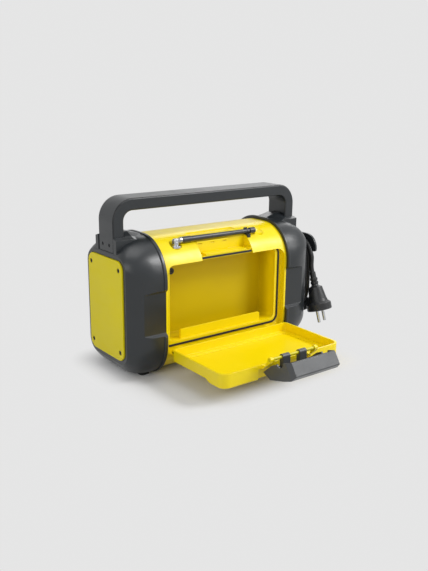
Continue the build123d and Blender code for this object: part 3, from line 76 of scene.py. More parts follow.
# The values or links of a node's sockets, by identifier, name or place.
Inputs = Mapping[Union[str, int], Any]


def mm(*values: float) -> Any:
    """Millimetres as metres: one number, or a tuple of them."""
    scaled = tuple(value / 1000 for value in values)
    return scaled[0] if len(scaled) == 1 else scaled


# ---------------------------------------------------------------- node trees
class Signal:
    """An output in a node tree, which Python's operators turn into Math nodes."""

    def __init__(self, tree: "NodeTree", socket: bpy.types.NodeSocket) -> None:
        """Wraps one output socket.

        Args:
            tree: The node tree that the socket belongs to.
            socket: The output socket.
        """
        self.tree = tree
        self.socket = socket

    def _math(self, operation: str, *operands: Union["Signal", float]) -> "Signal":
        """Adds one Math node over the operands, in their order."""
        return self.tree.signal("ShaderNodeMath", dict(enumerate(operands)), operation=operation)

    def __add__(self, other: Union["Signal", float]) -> "Signal":
        """Sum."""
        return self._math("ADD", self, other)

    def __radd__(self, other: float) -> "Signal":
        """Sum with a number on the left."""
        return self._math("ADD", other, self)

    def __sub__(self, other: Union["Signal", float]) -> "Signal":
        """Difference."""
        return self._math("SUBTRACT", self, other)

    def __rsub__(self, other: float) -> "Signal":
        """Difference from a number, as in 1 - mask."""
        return self._math("SUBTRACT", other, self)

    def __mul__(self, other: Union["Signal", float]) -> "Signal":
        """Product."""
        return self._math("MULTIPLY", self, other)

    def __rmul__(self, other: float) -> "Signal":
        """Product with a number on the left."""
        return self._math("MULTIPLY", other, self)

    def across(self, other: "Signal") -> "Signal":
        """The length across two legs at a right angle."""
        return self._math("POWER", self * self + other * other, 0.5)

    def remainder(self, divisor: float) -> "Signal":
        """What is left over from a division."""
        return self._math("MODULO", self, divisor)

    def size(self) -> "Signal":
        """Absolute value."""
        return self._math("ABSOLUTE", self)

    def at_least(self, floor: float) -> "Signal":
        """The greater of it and a number."""
        return self._math("MAXIMUM", self, floor)

    def at_most(self, ceiling: float) -> "Signal":
        """The lesser of it and a number."""
        return self._math("MINIMUM", self, ceiling)

    def above(self, edge: float, width: float) -> "Signal":
        """A soft step: 0 below edge, 1 above edge + width."""
        inputs = {"Value": self, "From Min": edge, "From Max": edge + width}
        return self.tree.signal(
            "ShaderNodeMapRange", inputs, "Result", interpolation_type="SMOOTHSTEP"
        )

    def within(self, middle: float, half: float, soft: float) -> "Signal":
        """A soft band: 1 within half of middle, falling to 0 over soft."""
        return 1.0 - (self - middle).size().above(half, soft)

    def wave(self, pitch: float) -> "Signal":
        """A sine of that pitch, from 0 to 1."""
        return self._math("SINE", self * (2 * math.pi / pitch)) * 0.5 + 0.5


class NodeTree:
    """A node tree, and the one way in which nodes are added to it."""

    def __init__(self, tree: bpy.types.NodeTree) -> None:
        """Takes the tree of a material, the world or a pattern."""
        self.tree = tree

    def node(
        self, kind: str, inputs: Optional[Inputs] = None, **settings: Any
    ) -> bpy.types.Node:
        """Adds one node.

        Args:
            kind: The node's type name.
            inputs: The values or links of its sockets.
            **settings: Its properties, such as a Math node's operation, set before its inputs.

        Returns:
            The new node.
        """
        made = self.tree.nodes.new(kind)
        for key, value in settings.items():
            setattr(made, key, value)
        for key, value in (inputs or {}).items():
            socket = self._socket(made.inputs, key)
            if isinstance(value, Signal):
                self.tree.links.new(value.socket, socket)
            elif socket.type == "RGBA" and len(value) == 3:
                socket.default_value = (*value, 1.0)
            else:
                socket.default_value = value
        return made

    def signal(
        self,
        kind: str,
        inputs: Optional[Inputs] = None,
        output: Union[str, int] = 0,
        **settings: Any,
    ) -> Signal:
        """Adds one node.

        Args:
            kind: The node's type name.
            inputs: The values or links of its sockets.
            output: The identifier, name or place of the output that is wanted.
            **settings: The node's properties, as for node().

        Returns:
            The node's output.
        """
        made = self.node(kind, inputs, **settings)
        return Signal(self, self._socket(made.outputs, output))

    @staticmethod
    def _socket(sockets: Any, key: Union[str, int]) -> bpy.types.NodeSocket:
        """Finds one of a node's sockets by its identifier, its name or its place."""
        for socket in sockets:
            if socket.identifier == key:
                return socket
        return sockets[key]


# How far an edge's rounding turns the normal, as 1 - cosine, where its mask starts, and its rise.
EDGE_START = 0.02
EDGE_RISE = 0.22
ROUNDING_SAMPLES = 6


class NodeGraph(NodeTree):
    """The tree of a material or the world, with the patterns that finishes are built from."""

    def __init__(self, owner: Union[bpy.types.Material, bpy.types.World]) -> None:
        """Empties the tree.

        Args:
            owner: The material or world that the tree belongs to.
        """
        owner.use_nodes = True
        super().__init__(owner.node_tree)
        self.owner = owner
        self.tree.nodes.clear()
        self._place: Optional[Signal] = None

    @classmethod
    def for_finish(cls, name: str) -> "NodeGraph":
        """The empty graph of a new material with that name."""
        return cls(bpy.data.materials.new(name))

    def place(self) -> Signal:
        """Object coordinates, in metres, since every piece sits at the origin."""
        if self._place is None:
            self._place = self.signal("ShaderNodeTexCoord", output="Object")
        return self._place

    def axis(self, letter: str) -> Signal:
        """One object coordinate: "X", "Y" or "Z"."""
        return self.signal("ShaderNodeSeparateXYZ", {0: self.place()}, letter)

    def noise(self, scale: float, detail: float = 2.0, stretch: Point = (1, 1, 1)) -> Signal:
        """Fractal noise on object coordinates, from about 0.25 to 0.75.

        Args:
            scale: Features in a metre.
            detail: Octaves.
            stretch: A factor on each coordinate, for brushed or run marks.

        Returns:
            The noise's value.
        """
        mapped = self.signal("ShaderNodeMapping", {"Vector": self.place(), "Scale": stretch})
        inputs = {"Vector": mapped, "Scale": scale, "Detail": detail}
        return self.signal("ShaderNodeTexNoise", inputs, "Fac")

    def cells(self, scale: float) -> Signal:
        """Distance to the nearest cell's middle, for a leather-like moulded grain."""
        inputs = {"Vector": self.place(), "Scale": scale}
        return self.signal("ShaderNodeTexVoronoi", inputs, "Distance")

    def tint(
        self, factor: Signal, low: Union[Signal, Colour], high: Union[Signal, Colour]
    ) -> Signal:
        """Mixes two colours: low where the factor is 0, high where it is 1."""
        inputs = {"Factor_Float": factor, "A_Color": low, "B_Color": high}
        return self.signal("ShaderNodeMix", inputs, "Result_Color", data_type="RGBA")

    def rounded(self, radius: float) -> Signal:
        """The surface's normal with its edges rounded off by that radius."""
        return self.signal("ShaderNodeBevel", {"Radius": radius}, samples=ROUNDING_SAMPLES)

    def edge_mask(self, rounded: Signal) -> Signal:
        """How much an edge's rounding turns the normal.

        Args:
            rounded: The normal with its edges rounded off.

        Returns:
            0 on a face, up to 1 on a sharp edge.
        """
        flat = self.signal("ShaderNodeNewGeometry", output="Normal")
        along = self.signal(
            "ShaderNodeVectorMath", {0: rounded, 1: flat}, "Value", operation="DOT_PRODUCT"
        )
        return (1.0 - along).above(EDGE_START, EDGE_RISE)

    def bump(self, height: Signal, distance: float, normal: Optional[Signal] = None) -> Signal:
        """A bump map's normal.

        Args:
            height: What rises, from 0 to 1.
            distance: How far 1 rises, in metres.
            normal: The normal that it is laid on.

        Returns:
            The new normal.
        """
        inputs: dict = {"Height": height, "Distance": distance, "Strength": 1.0}
        if normal is not None:
            inputs["Normal"] = normal
        return self.signal("ShaderNodeBump", inputs)

    def finish(self, sockets: Inputs) -> bpy.types.Material:
        """Closes the material with one Principled shader.

        Args:
            sockets: The values or links of the shader's inputs.

        Returns:
            The material.
        """
        shader = self.signal("ShaderNodeBsdfPrincipled", sockets)
        self.node("ShaderNodeOutputMaterial", {"Surface": shader})
        return self.owner


# ---------------------------------------------------------------- finishes
CREVICE: Colour = (0.004, 0.004, 0.005)
CREASE_DEPTH = mm(0.4)
POLISHED: Colour = (0.55, 0.56, 0.58)
# How much of the enamel's roughness its polished metal has lost.
POLISH = 0.5


@dataclass(frozen=True)
class Patches:
    """A noise cut to soft patches, such as clouding, scuffs or dust.

    The patches are full above edge + softness in the noise, and gone below edge.
    """

    scale: float
    detail: float
    edge: float
    softness: float
    stretch: Point = (1.0, 1.0, 1.0)

    def mask(self, graph: NodeGraph) -> Signal:
        """Where the patches lie, from 0 to 1."""
        noise = graph.noise(self.scale, self.detail, self.stretch)
        return noise.above(self.edge, self.softness)


@dataclass(frozen=True)
class Finish(ABC):
    """A finish, which becomes one Principled material of its own name."""

    name: str

    @abstractmethod
    def sockets(self, graph: NodeGraph) -> Inputs:
        """Builds the finish's patterns.

        Args:
            graph: The material's graph.

        Returns:
            The values or links of the shader's inputs, by their names.
        """

    def material(self) -> bpy.types.Material:
        """Builds the node material."""
        graph = NodeGraph.for_finish(self.name)
        return graph.finish(self.sockets(graph))


class Grain(Enum):
    """Surface of a mould: how deep its spark-eroded texture is."""

    SMOOTH = mm(0.004)
    FINE = mm(0.02)
    LEATHERY = mm(0.05)


@dataclass(frozen=True)
class MouldedPlastic(Finish):
    """A moulded housing plastic with its grain, soft edges and light handling wear."""

    colour: Colour
    shade: Colour
    worn: Colour
    roughness: float = 0.42
    grain: Grain = Grain.FINE
    edge_radius: float = mm(0.7)
    wear: float = 0.25
    sheen: float = 0.5
    clouds: Patches = Patches(scale=9.0, detail=3.0, edge=0.34, softness=0.34)
    scuffs: Patches = Patches(scale=180.0, detail=3.0, edge=0.46, softness=0.16)
    rubs: Patches = Patches(
        scale=34.0, detail=4.0, edge=0.42, softness=0.3, stretch=(1.0, 1.0, 2.2)
    )
    fresh_gloss: float = 0.05
    rub_dulling: float = 0.09
    edge_gloss: float = 0.06
    cell_scale: float = 950.0
    speckle_scale: float = 2600.0
    speckle_share: float = 0.6

    def body(self, graph: NodeGraph) -> Signal:
        """The plastic's own colour, slightly clouded."""
        return graph.tint(self.clouds.mask(graph), self.shade, self.colour)

    def crease(self, graph: NodeGraph) -> Optional[Signal]:
        """Where joint lines run over the surface, from 0 to 1, or None for a plain one."""
        return None

    def bare(self, graph: NodeGraph) -> Optional[Signal]:
        """Where polished metal shows, from 0 to 1, or None for none."""
        return None

    def sockets(self, graph: NodeGraph) -> Inputs:
        """Grain with rubs and worn edges, and any joint lines and bare metal over it.

        Args:
            graph: The material's graph.

        Returns:
            The shader's inputs.
        """
        rounded = graph.rounded(self.edge_radius)
        edges = graph.edge_mask(rounded) * self.scuffs.mask(graph)
        colour = graph.tint(edges * self.wear, self.body(graph), self.worn)
        rubbed = self.rubs.mask(graph) * self.rub_dulling
        roughness = rubbed + (self.roughness - self.fresh_gloss) - edges * self.edge_gloss
        speckle = graph.noise(self.speckle_scale) * self.speckle_share
        texture = graph.cells(self.cell_scale) + speckle
        normal = graph.bump(texture, self.grain.value, rounded)
        line = self.crease(graph)
        if line is not None:
            colour = graph.tint(line, colour, CREVICE)
            normal = graph.bump(1.0 - line, CREASE_DEPTH, normal)
        inputs = {
            "Base Color": colour,
            "Roughness": roughness,
            "Specular IOR Level": self.sheen,
            "Normal": normal,
        }
        metal = self.bare(graph)
        if metal is not None:
            inputs["Base Color"] = graph.tint(metal, colour, POLISHED)
            inputs["Roughness"] = roughness * (1.0 - metal * POLISH)
            inputs["Metallic"] = metal
        return inputs


@dataclass(frozen=True)
class LinerPlasticWithPaintedShade(MouldedPlastic):
    """The compartment's lining, with painted shade that darkens it towards its back wall."""

    # deep is the painted shade's colour at the back wall; the shade starts at front_y and grows over
    # depth.
    deep: Colour = (0.62, 0.47, 0.0)
    front_y: float = mm(-48.0)
    depth: float = mm(22.0)

    def body(self, graph: NodeGraph) -> Signal:
        """The plastic's colour, darkened further in by painted shade."""
        # Painted shade: darker from front_y inwards, where less lamp light reaches the recess.
        painted_shade_mask = graph.axis("Y").above(self.front_y, self.depth)
        return graph.tint(painted_shade_mask, super().body(graph), self.deep)


@dataclass(frozen=True)
class HandlePlastic(MouldedPlastic):
    """The handle's frame, with the joint line of its outer cover along both edges."""

    corner_x: float = mm(128.4)
    corner_z: float = mm(214.0)
    outside: float = mm(26.0)
    outside_soft: float = mm(1.0)
    line_y: float = mm(18.6)
    line_half: float = mm(0.5)
    line_soft: float = mm(0.4)

    def crease(self, graph: NodeGraph) -> Optional[Signal]:
        """A line near each edge, on the loop's outer face only.

        Args:
            graph: The material's graph.

        Returns:
            Where the line runs, from 0 to 1.
        """
        out = (graph.axis("X").size() - self.corner_x).at_least(0.0)
        up = (graph.axis("Z") - self.corner_z).at_least(0.0)
        outer = out.across(up).above(self.outside, self.outside_soft)
        side = graph.axis("Y").size()
        return outer * side.within(self.line_y, self.line_half, self.line_soft)


@dataclass(frozen=True)
class MastEnamel(MouldedPlastic):
    """A telescopic mast: black enamel, a polished ring at its root, lines at its sections."""

    rings: Tuple[Tuple[float, float], ...] = (mm(-69.1, 0.5),)
    lines: Tuple[float, ...] = mm(-65.4, -54.6, -52.6, 45.4)
    line_half: float = mm(0.25)
    band_soft: float = mm(0.2)

    def bare(self, graph: NodeGraph) -> Optional[Signal]:
        """The polished rings, as places along the folded mast."""
        return self._bands(graph, self.rings)

    def crease(self, graph: NodeGraph) -> Optional[Signal]:
        """The lines between the sections."""
        return self._bands(graph, [(place, self.line_half) for place in self.lines])

    def _bands(self, graph: NodeGraph, bands: Sequence[Tuple[float, float]]) -> Signal:
        """Adds up bands across the folded mast.

        Args:
            graph: The material's graph.
            bands: The middle and the half width of each.

        Returns:
            Where the bands lie, from 0 to 1.
        """
        along = graph.axis("X")
        masks = [along.within(middle, half, self.band_soft) for middle, half in bands]
        total = masks[0]
        for mask in masks[1:]:
            total = total + mask
        return total


@dataclass(frozen=True)
class Rubber(Finish):
    """Soft black rubber or cord sheath: matt, with a bloom of dust and moulding marks."""

    colour: Colour
    bloom: Colour
    roughness: float = 0.62
    rib_pitch: float = 0.0
    dust: Patches = Patches(scale=120.0, detail=4.0, edge=0.48, softness=0.24)
    dust_share: float = 0.45
    dust_dulling: float = 0.12
    pore_scale: float = 1800.0
    pore_share: float = 0.35
    relief: float = mm(0.12)
    edge_radius: float = mm(0.4)
    sheen: float = 0.45

    def sockets(self, graph: NodeGraph) -> Inputs:
        """Dust over fine pores, and ribs on a ribbed piece.

        Args:
            graph: The material's graph.

        Returns:
            The shader's inputs.
        """
        dust = self.dust.mask(graph)
        height = graph.noise(self.pore_scale, detail=3.0) * self.pore_share
        if self.rib_pitch:
            height = height + graph.axis("X").wave(self.rib_pitch)
        return {
            "Base Color": graph.tint(dust * self.dust_share, self.colour, self.bloom),
            "Roughness": dust * self.dust_dulling + self.roughness,
            "Specular IOR Level": self.sheen,
            "Normal": graph.bump(height, self.relief, graph.rounded(self.edge_radius)),
        }


@dataclass(frozen=True)
class Metal(Finish):
    """Bare, plated or blackened metal with turning or brushing marks."""

    colour: Colour
    tarnish: Colour
    roughness: float = 0.22
    marks: float = mm(0.01)
    stretch: Point = (40.0, 1.0, 1.0)
    metallic: float = 1.0
    spots: Patches = Patches(scale=260.0, detail=3.0, edge=0.5, softness=0.2)
    spot_share: float = 0.5
    spot_dulling: float = 0.07
    mark_scale: float = 60.0
    mark_dulling: float = 0.12
    edge_radius: float = mm(0.3)

    def sockets(self, graph: NodeGraph) -> Inputs:
        """Brushing or turning lines under spots of tarnish.

        Args:
            graph: The material's graph.

        Returns:
            The shader's inputs.
        """
        lines = graph.noise(self.mark_scale, detail=3.0, stretch=self.stretch)
        spots = self.spots.mask(graph)
        # A noise averages a half, so half its dulling is taken off to keep the roughness true.
        smooth = self.roughness - self.mark_dulling / 2
        return {
            "Base Color": graph.tint(spots * self.spot_share, self.colour, self.tarnish),
            "Metallic": self.metallic,
            "Roughness": lines * self.mark_dulling + spots * self.spot_dulling + smooth,
            "Normal": graph.bump(lines, self.marks, graph.rounded(self.edge_radius)),
        }


@dataclass(frozen=True)
class CircuitBoard(Finish):
    """Solder-masked board: green lacquer over faint copper runs."""

    mask: Colour
    copper: Colour
    roughness: float = 0.3
    copper_dulling: float = 0.1
    upright_pitch: float = mm(3.1)
    upright_edge: float = 0.72
    upright_stretches: Patches = Patches(scale=160.0, detail=1.0, edge=0.44, softness=0.06)
    level_pitch: float = mm(4.3)
    level_edge: float = 0.76
    level_stretches: Patches = Patches(scale=140.0, detail=1.0, edge=0.5, softness=0.06)
    track_soft: float = 0.1
    copper_edge: float = 0.3
    copper_soft: float = 0.5
    thickness: float = mm(0.04)

    def sockets(self, graph: NodeGraph) -> Inputs:
        """Broken runs of copper in both directions, slightly raised.

        Args:
            graph: The material's graph.

        Returns:
            The shader's inputs.
        """
        upright = graph.axis("X").wave(self.upright_pitch).above(self.upright_edge, self.track_soft)
        level = graph.axis("Z").wave(self.level_pitch).above(self.level_edge, self.track_soft)
        runs = upright * self.upright_stretches.mask(graph)
        cross = level * self.level_stretches.mask(graph)
        tracks = (runs + cross).above(self.copper_edge, self.copper_soft)
        return {
            "Base Color": graph.tint(tracks, self.mask, self.copper),
            "Roughness": tracks * self.copper_dulling + self.roughness,
            "Normal": graph.bump(tracks, self.thickness),
        }


@dataclass(frozen=True)
class SmokedLens(Finish):
    """Dark glossy display window over its recessed panel."""

    glass: Colour
    panel: Colour
    middle_x: float
    middle_z: float
    half_width: float
    half_height: float
    panel_soft: float = mm(0.4)
    roughness: float = 0.07
    smears: Patches = Patches(scale=70.0, detail=3.0, edge=0.5, softness=0.25)
    smear_dulling: float = 0.08
    coat: float = 0.6
    coat_roughness: float = 0.05
    ripple_scale: float = 40.0
    ripple: float = mm(0.03)
    edge_radius: float = mm(0.4)

    def sockets(self, graph: NodeGraph) -> Inputs:
        """The panel behind the glass, under smears and a slow ripple.

        Args:
            graph: The material's graph.

        Returns:
            The shader's inputs.
        """
        across = graph.axis("X").within(self.middle_x, self.half_width, self.panel_soft)
        upright = graph.axis("Z").within(self.middle_z, self.half_height, self.panel_soft)
        ripples = graph.noise(self.ripple_scale, detail=1.0)
        return {
            "Base Color": graph.tint(across * upright, self.glass, self.panel),
            "Roughness": self.smears.mask(graph) * self.smear_dulling + self.roughness,
            "Coat Weight": self.coat,
            "Coat Roughness": self.coat_roughness,
            "Normal": graph.bump(ripples, self.ripple, graph.rounded(self.edge_radius)),
        }


@dataclass(frozen=True)
class PressedPaper(Finish):
    """Felted speaker paper with its fine fibres."""

    colour: Colour
    fibre: Colour
    roughness: float = 0.78
    fibre_scale: float = 900.0
    fibre_edge: float = 0.45
    fibre_soft: float = 0.25
    fibre_dulling: float = 0.1
    felt: float = mm(0.15)

    def sockets(self, graph: NodeGraph) -> Inputs:
        """Fibres that stand out of the felt.

        Args:
            graph: The material's graph.

        Returns:
            The shader's inputs.
        """
        fibres = graph.noise(self.fibre_scale, detail=5.0)
        showing = fibres.above(self.fibre_edge, self.fibre_soft)
        return {
            "Base Color": graph.tint(showing, self.colour, self.fibre),
            "Roughness": fibres * self.fibre_dulling + self.roughness,
            "Normal": graph.bump(fibres, self.felt),
        }


# The colour, the clouded colour and the worn colour of each plastic that has two finishes.
YELLOW = ((0.96, 0.755, 0.0), (0.945, 0.735, 0.0), (1.0, 0.85, 0.10))
CHARCOAL = ((0.018, 0.0215, 0.0245), (0.015, 0.0185, 0.0215), (0.062, 0.067, 0.072))
ANTENNA_BLACK = ((0.030, 0.032, 0.036), (0.025, 0.027, 0.031), (0.09, 0.092, 0.096))

FINISHES: Tuple[Finish, ...] = (
    MouldedPlastic("yellow_shell", *YELLOW, roughness=0.34, sheen=0.42, wear=0.06),
    # The lining's finish paints shade that darkens it towards the compartment's back wall.
    LinerPlasticWithPaintedShade("liner_yellow", *YELLOW, roughness=0.46, sheen=0.22),
    MouldedPlastic(
        "yellow_panel", (0.82, 0.69, 0.0), (0.79, 0.66, 0.0), (0.9, 0.8, 0.08),
        roughness=0.5, grain=Grain.SMOOTH, sheen=0.3,
    ),
    MouldedPlastic(
        "bar_yellow", (0.70, 0.62, 0.004), (0.66, 0.58, 0.003), (0.85, 0.78, 0.1),
        roughness=0.36, sheen=0.4,
    ),
    MouldedPlastic("charcoal_plastic", *CHARCOAL, roughness=0.33, sheen=0.55),
    HandlePlastic("handle_plastic", *CHARCOAL, roughness=0.33, sheen=0.55),
    MouldedPlastic(
        "latch_grey", (0.072, 0.076, 0.080), (0.064, 0.068, 0.072), (0.16, 0.165, 0.17),
        roughness=0.38, edge_radius=mm(0.9), wear=0.4,
    ),
    MouldedPlastic(
        "antenna_black", *ANTENNA_BLACK, roughness=0.34, grain=Grain.SMOOTH, edge_radius=mm(0.4)
    ),
    MastEnamel(
        "mast_enamel", *ANTENNA_BLACK, roughness=0.30, grain=Grain.SMOOTH, edge_radius=mm(0.4)
    ),
    MouldedPlastic(
        "socket_black", (0.016, 0.016, 0.017), (0.012, 0.012, 0.013), (0.05, 0.05, 0.05),
        roughness=0.38, edge_radius=mm(0.4),
    ),
    MouldedPlastic(
        "fascia_black", (0.022, 0.023, 0.025), (0.018, 0.019, 0.021), (0.07, 0.072, 0.075),
        roughness=0.42,
    ),
    MouldedPlastic(
        "knob_black", (0.017, 0.017, 0.019), (0.013, 0.013, 0.015), (0.06, 0.06, 0.062),
        roughness=0.34, grain=Grain.SMOOTH, edge_radius=mm(0.5),
    ),
    MouldedPlastic(
        "switch_black", (0.015, 0.015, 0.016), (0.012, 0.012, 0.013), (0.05, 0.05, 0.05),
        grain=Grain.SMOOTH, edge_radius=mm(0.3),
    ),
    MouldedPlastic(
        "supply_case", (0.024, 0.024, 0.025), (0.02, 0.02, 0.021), (0.06, 0.06, 0.06),
        grain=Grain.LEATHERY,
    ),
    MouldedPlastic(
        "button_grey", (0.060, 0.062, 0.066), (0.052, 0.054, 0.058), (0.12, 0.12, 0.125),
        roughness=0.55, grain=Grain.LEATHERY, edge_radius=mm(0.5),
    ),
    Rubber("seal_rubber", (0.010, 0.012, 0.022), (0.03, 0.033, 0.045), roughness=0.5),
    Rubber("foot_rubber", (0.012, 0.012, 0.012), (0.04, 0.04, 0.04), rib_pitch=mm(2.0)),
    Rubber("cord_black", (0.014, 0.0148, 0.016), (0.032, 0.033, 0.035), roughness=0.40),
    Metal("dark_steel", (0.035, 0.035, 0.037), (0.02, 0.02, 0.021), roughness=0.36),
    Metal("chrome", (0.58, 0.59, 0.61), (0.42, 0.43, 0.45), roughness=0.16, marks=mm(0.004)),
    Metal(
        "grille_steel", (0.030, 0.030, 0.032), (0.018, 0.018, 0.02), roughness=0.45,
        metallic=0.4, stretch=(1.0, 1.0, 1.0),
    ),
    Metal(
        "speaker_steel", (0.30, 0.30, 0.31), (0.2, 0.2, 0.2), roughness=0.4,
        stretch=(1.0, 8.0, 1.0),
    ),
    Metal(
        "magnet", (0.10, 0.10, 0.10), (0.06, 0.06, 0.06), roughness=0.55, metallic=0.6,
        stretch=(1.0, 1.0, 1.0),
    ),
    Metal("component_metal", (0.58, 0.58, 0.6), (0.42, 0.42, 0.43), roughness=0.3),
    PressedPaper("cone_paper", (0.022, 0.021, 0.02), (0.045, 0.043, 0.04)),
    CircuitBoard("board_green", (0.008, 0.09, 0.03), (0.05, 0.19, 0.06)),
    SmokedLens(
        "display_lens", (0.010, 0.011, 0.012), (0.045, 0.062, 0.05),
        middle_x=0.0, middle_z=mm(130.0), half_width=mm(16.5), half_height=mm(7.8),
    ),
)


# Nodes whose finish is more than their slot's plain one.
SPECIAL_FINISHES: Mapping[str, str] = {
    "antenna_mast": "mast_enamel",
    "compartment_liner": "liner_yellow",
    "cord_wrap": "charcoal_plastic",
    "handle_frame": "handle_plastic",
}


class FinishShelf:
    """Every finish, built once and handed out by name."""

    def __init__(self, finishes: Iterable[Finish]) -> None:
        """Builds the materials.

        Args:
            finishes: The finishes to build.
        """
        self._made = {finish.name: finish.material() for finish in finishes}

    def __getitem__(self, name: str) -> bpy.types.Material:
        """The material of that name."""
        return self._made[name]

    def dress(self, thing: bpy.types.Object, name: str) -> None:
        """Gives an object one finish all over."""
        thing.data.materials.clear()
        thing.data.materials.append(self[name])

    def dress_nodes(self, frame: Mapping[str, Any]) -> int:
        """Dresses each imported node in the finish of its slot.


        Returns:
            How many nodes were dressed.
        """
        slots = {row["node"]: row["material_slot"] for row in frame["record"]["subparts"]}
        for name, node in frame["nodes"].items():
            self.dress(node, slots[name])
        return len(slots)


# ---------------------------------------------------------------- meshes
class Side(Enum):
    """The left or right half of the radio, as the sign of its X."""

    LEFT = -1
    RIGHT = 1


def new_piece(name: str, mesh: bpy.types.Mesh) -> bpy.types.Object:
    """Links a mesh as an object at the origin.

    Args:
        name: The piece's name.
        mesh: Its mesh, already in its place.

    Returns:
        The new object.
    """
    piece = bpy.data.objects.new(name, mesh)
    bpy.context.scene.collection.objects.link(piece)
    return piece


def mesh_from(name: str, build: bmesh.types.BMesh) -> bpy.types.Mesh:
    """Turns a finished build into a mesh.

    Args:
        name: The mesh's name.
        build: The build, which is freed.

    Returns:
        The new mesh.
    """
    mesh = bpy.data.meshes.new(name)
    build.to_mesh(mesh)
    build.free()
    return mesh


def turned_ring(
    name: str, section: Sequence[Tuple[float, float]], place: Matrix, steps: int = 48
) -> bpy.types.Object:
    """A ring that is turned about its Z axis.

    Args:
        name: The piece's name.
        section: Radius and height of each corner of its closed section, in metres.
        place: Where the turned ring's own frame lies in the part's.
        steps: Faces round the axis.

    Returns:
        The new object, with smooth faces.
    """
    build = bmesh.new()
    cuts = []
    for step in range(steps):
        turn = place @ Matrix.Rotation(2 * math.pi * step / steps, 4, "Z")
        cuts.append([build.verts.new(turn @ Vector((r, 0.0, height))) for r, height in section])
    for cut, next_cut in zip(cuts, cuts[1:] + cuts[:1]):
        sides = zip(cut, next_cut, next_cut[1:] + next_cut[:1], cut[1:] + cut[:1])
        for corners in sides:
            build.faces.new(corners)
    bmesh.ops.recalc_face_normals(build, faces=build.faces)
    mesh = mesh_from(name, build)
    mesh.shade_smooth()
    return new_piece(name, mesh)


class PatternTree(NodeTree):
    """A Geometry Nodes tree that is built in the script, run once and turned to a mesh."""

    def __init__(self, name: str, sizes: Mapping[str, float]) -> None:
        """Starts the tree with one named float input for each size.

        Args:
            name: The tree's name.
            sizes: The name and value of each size.
        """
        super().__init__(bpy.data.node_groups.new(name, "GeometryNodeTree"))
        self.sizes = dict(sizes)
        new_socket = self.tree.interface.new_socket
        new_socket("Geometry", in_out="INPUT", socket_type="NodeSocketGeometry")
        for size in sizes:
            new_socket(size, in_out="INPUT", socket_type="NodeSocketFloat")
        new_socket("Geometry", in_out="OUTPUT", socket_type="NodeSocketGeometry")
        self.entry = self.node("NodeGroupInput")

    def size(self, name: str) -> Signal:
        """The value of a named size."""
        return Signal(self, self.entry.outputs[name])

    def run(
        self, name: str, geometry: Signal, finish: bpy.types.Material, place: Matrix
    ) -> bpy.types.Object:
        """Ends the tree, evaluates it and keeps the plain mesh.

        Args:
            name: The piece's name.
            geometry: The tree's last geometry.
            finish: Its material.
            place: Where the pattern's own frame lies in the part's.

        Returns:
            The new object.
        """
        real = self.signal("GeometryNodeRealizeInstances", {0: geometry})
        dressed = self.signal("GeometryNodeSetMaterial", {"Geometry": real, "Material": finish})
        self.node("NodeGroupOutput", {0: dressed})
        carrier = new_piece(f"{name}_carrier", bpy.data.meshes.new(f"{name}_carrier"))
        modifier = carrier.modifiers.new("pattern", "NODES")
        modifier.node_group = self.tree
        for item in self.tree.interface.items_tree:
            if item.in_out == "INPUT" and item.name in self.sizes:
                modifier[item.identifier] = float(self.sizes[item.name])
        evaluated = carrier.evaluated_get(bpy.context.evaluated_depsgraph_get())
        mesh = bpy.data.meshes.new_from_object(evaluated)
        bpy.data.objects.remove(carrier)
        mesh.name = name
        mesh.transform(place)
        return new_piece(name, mesh)


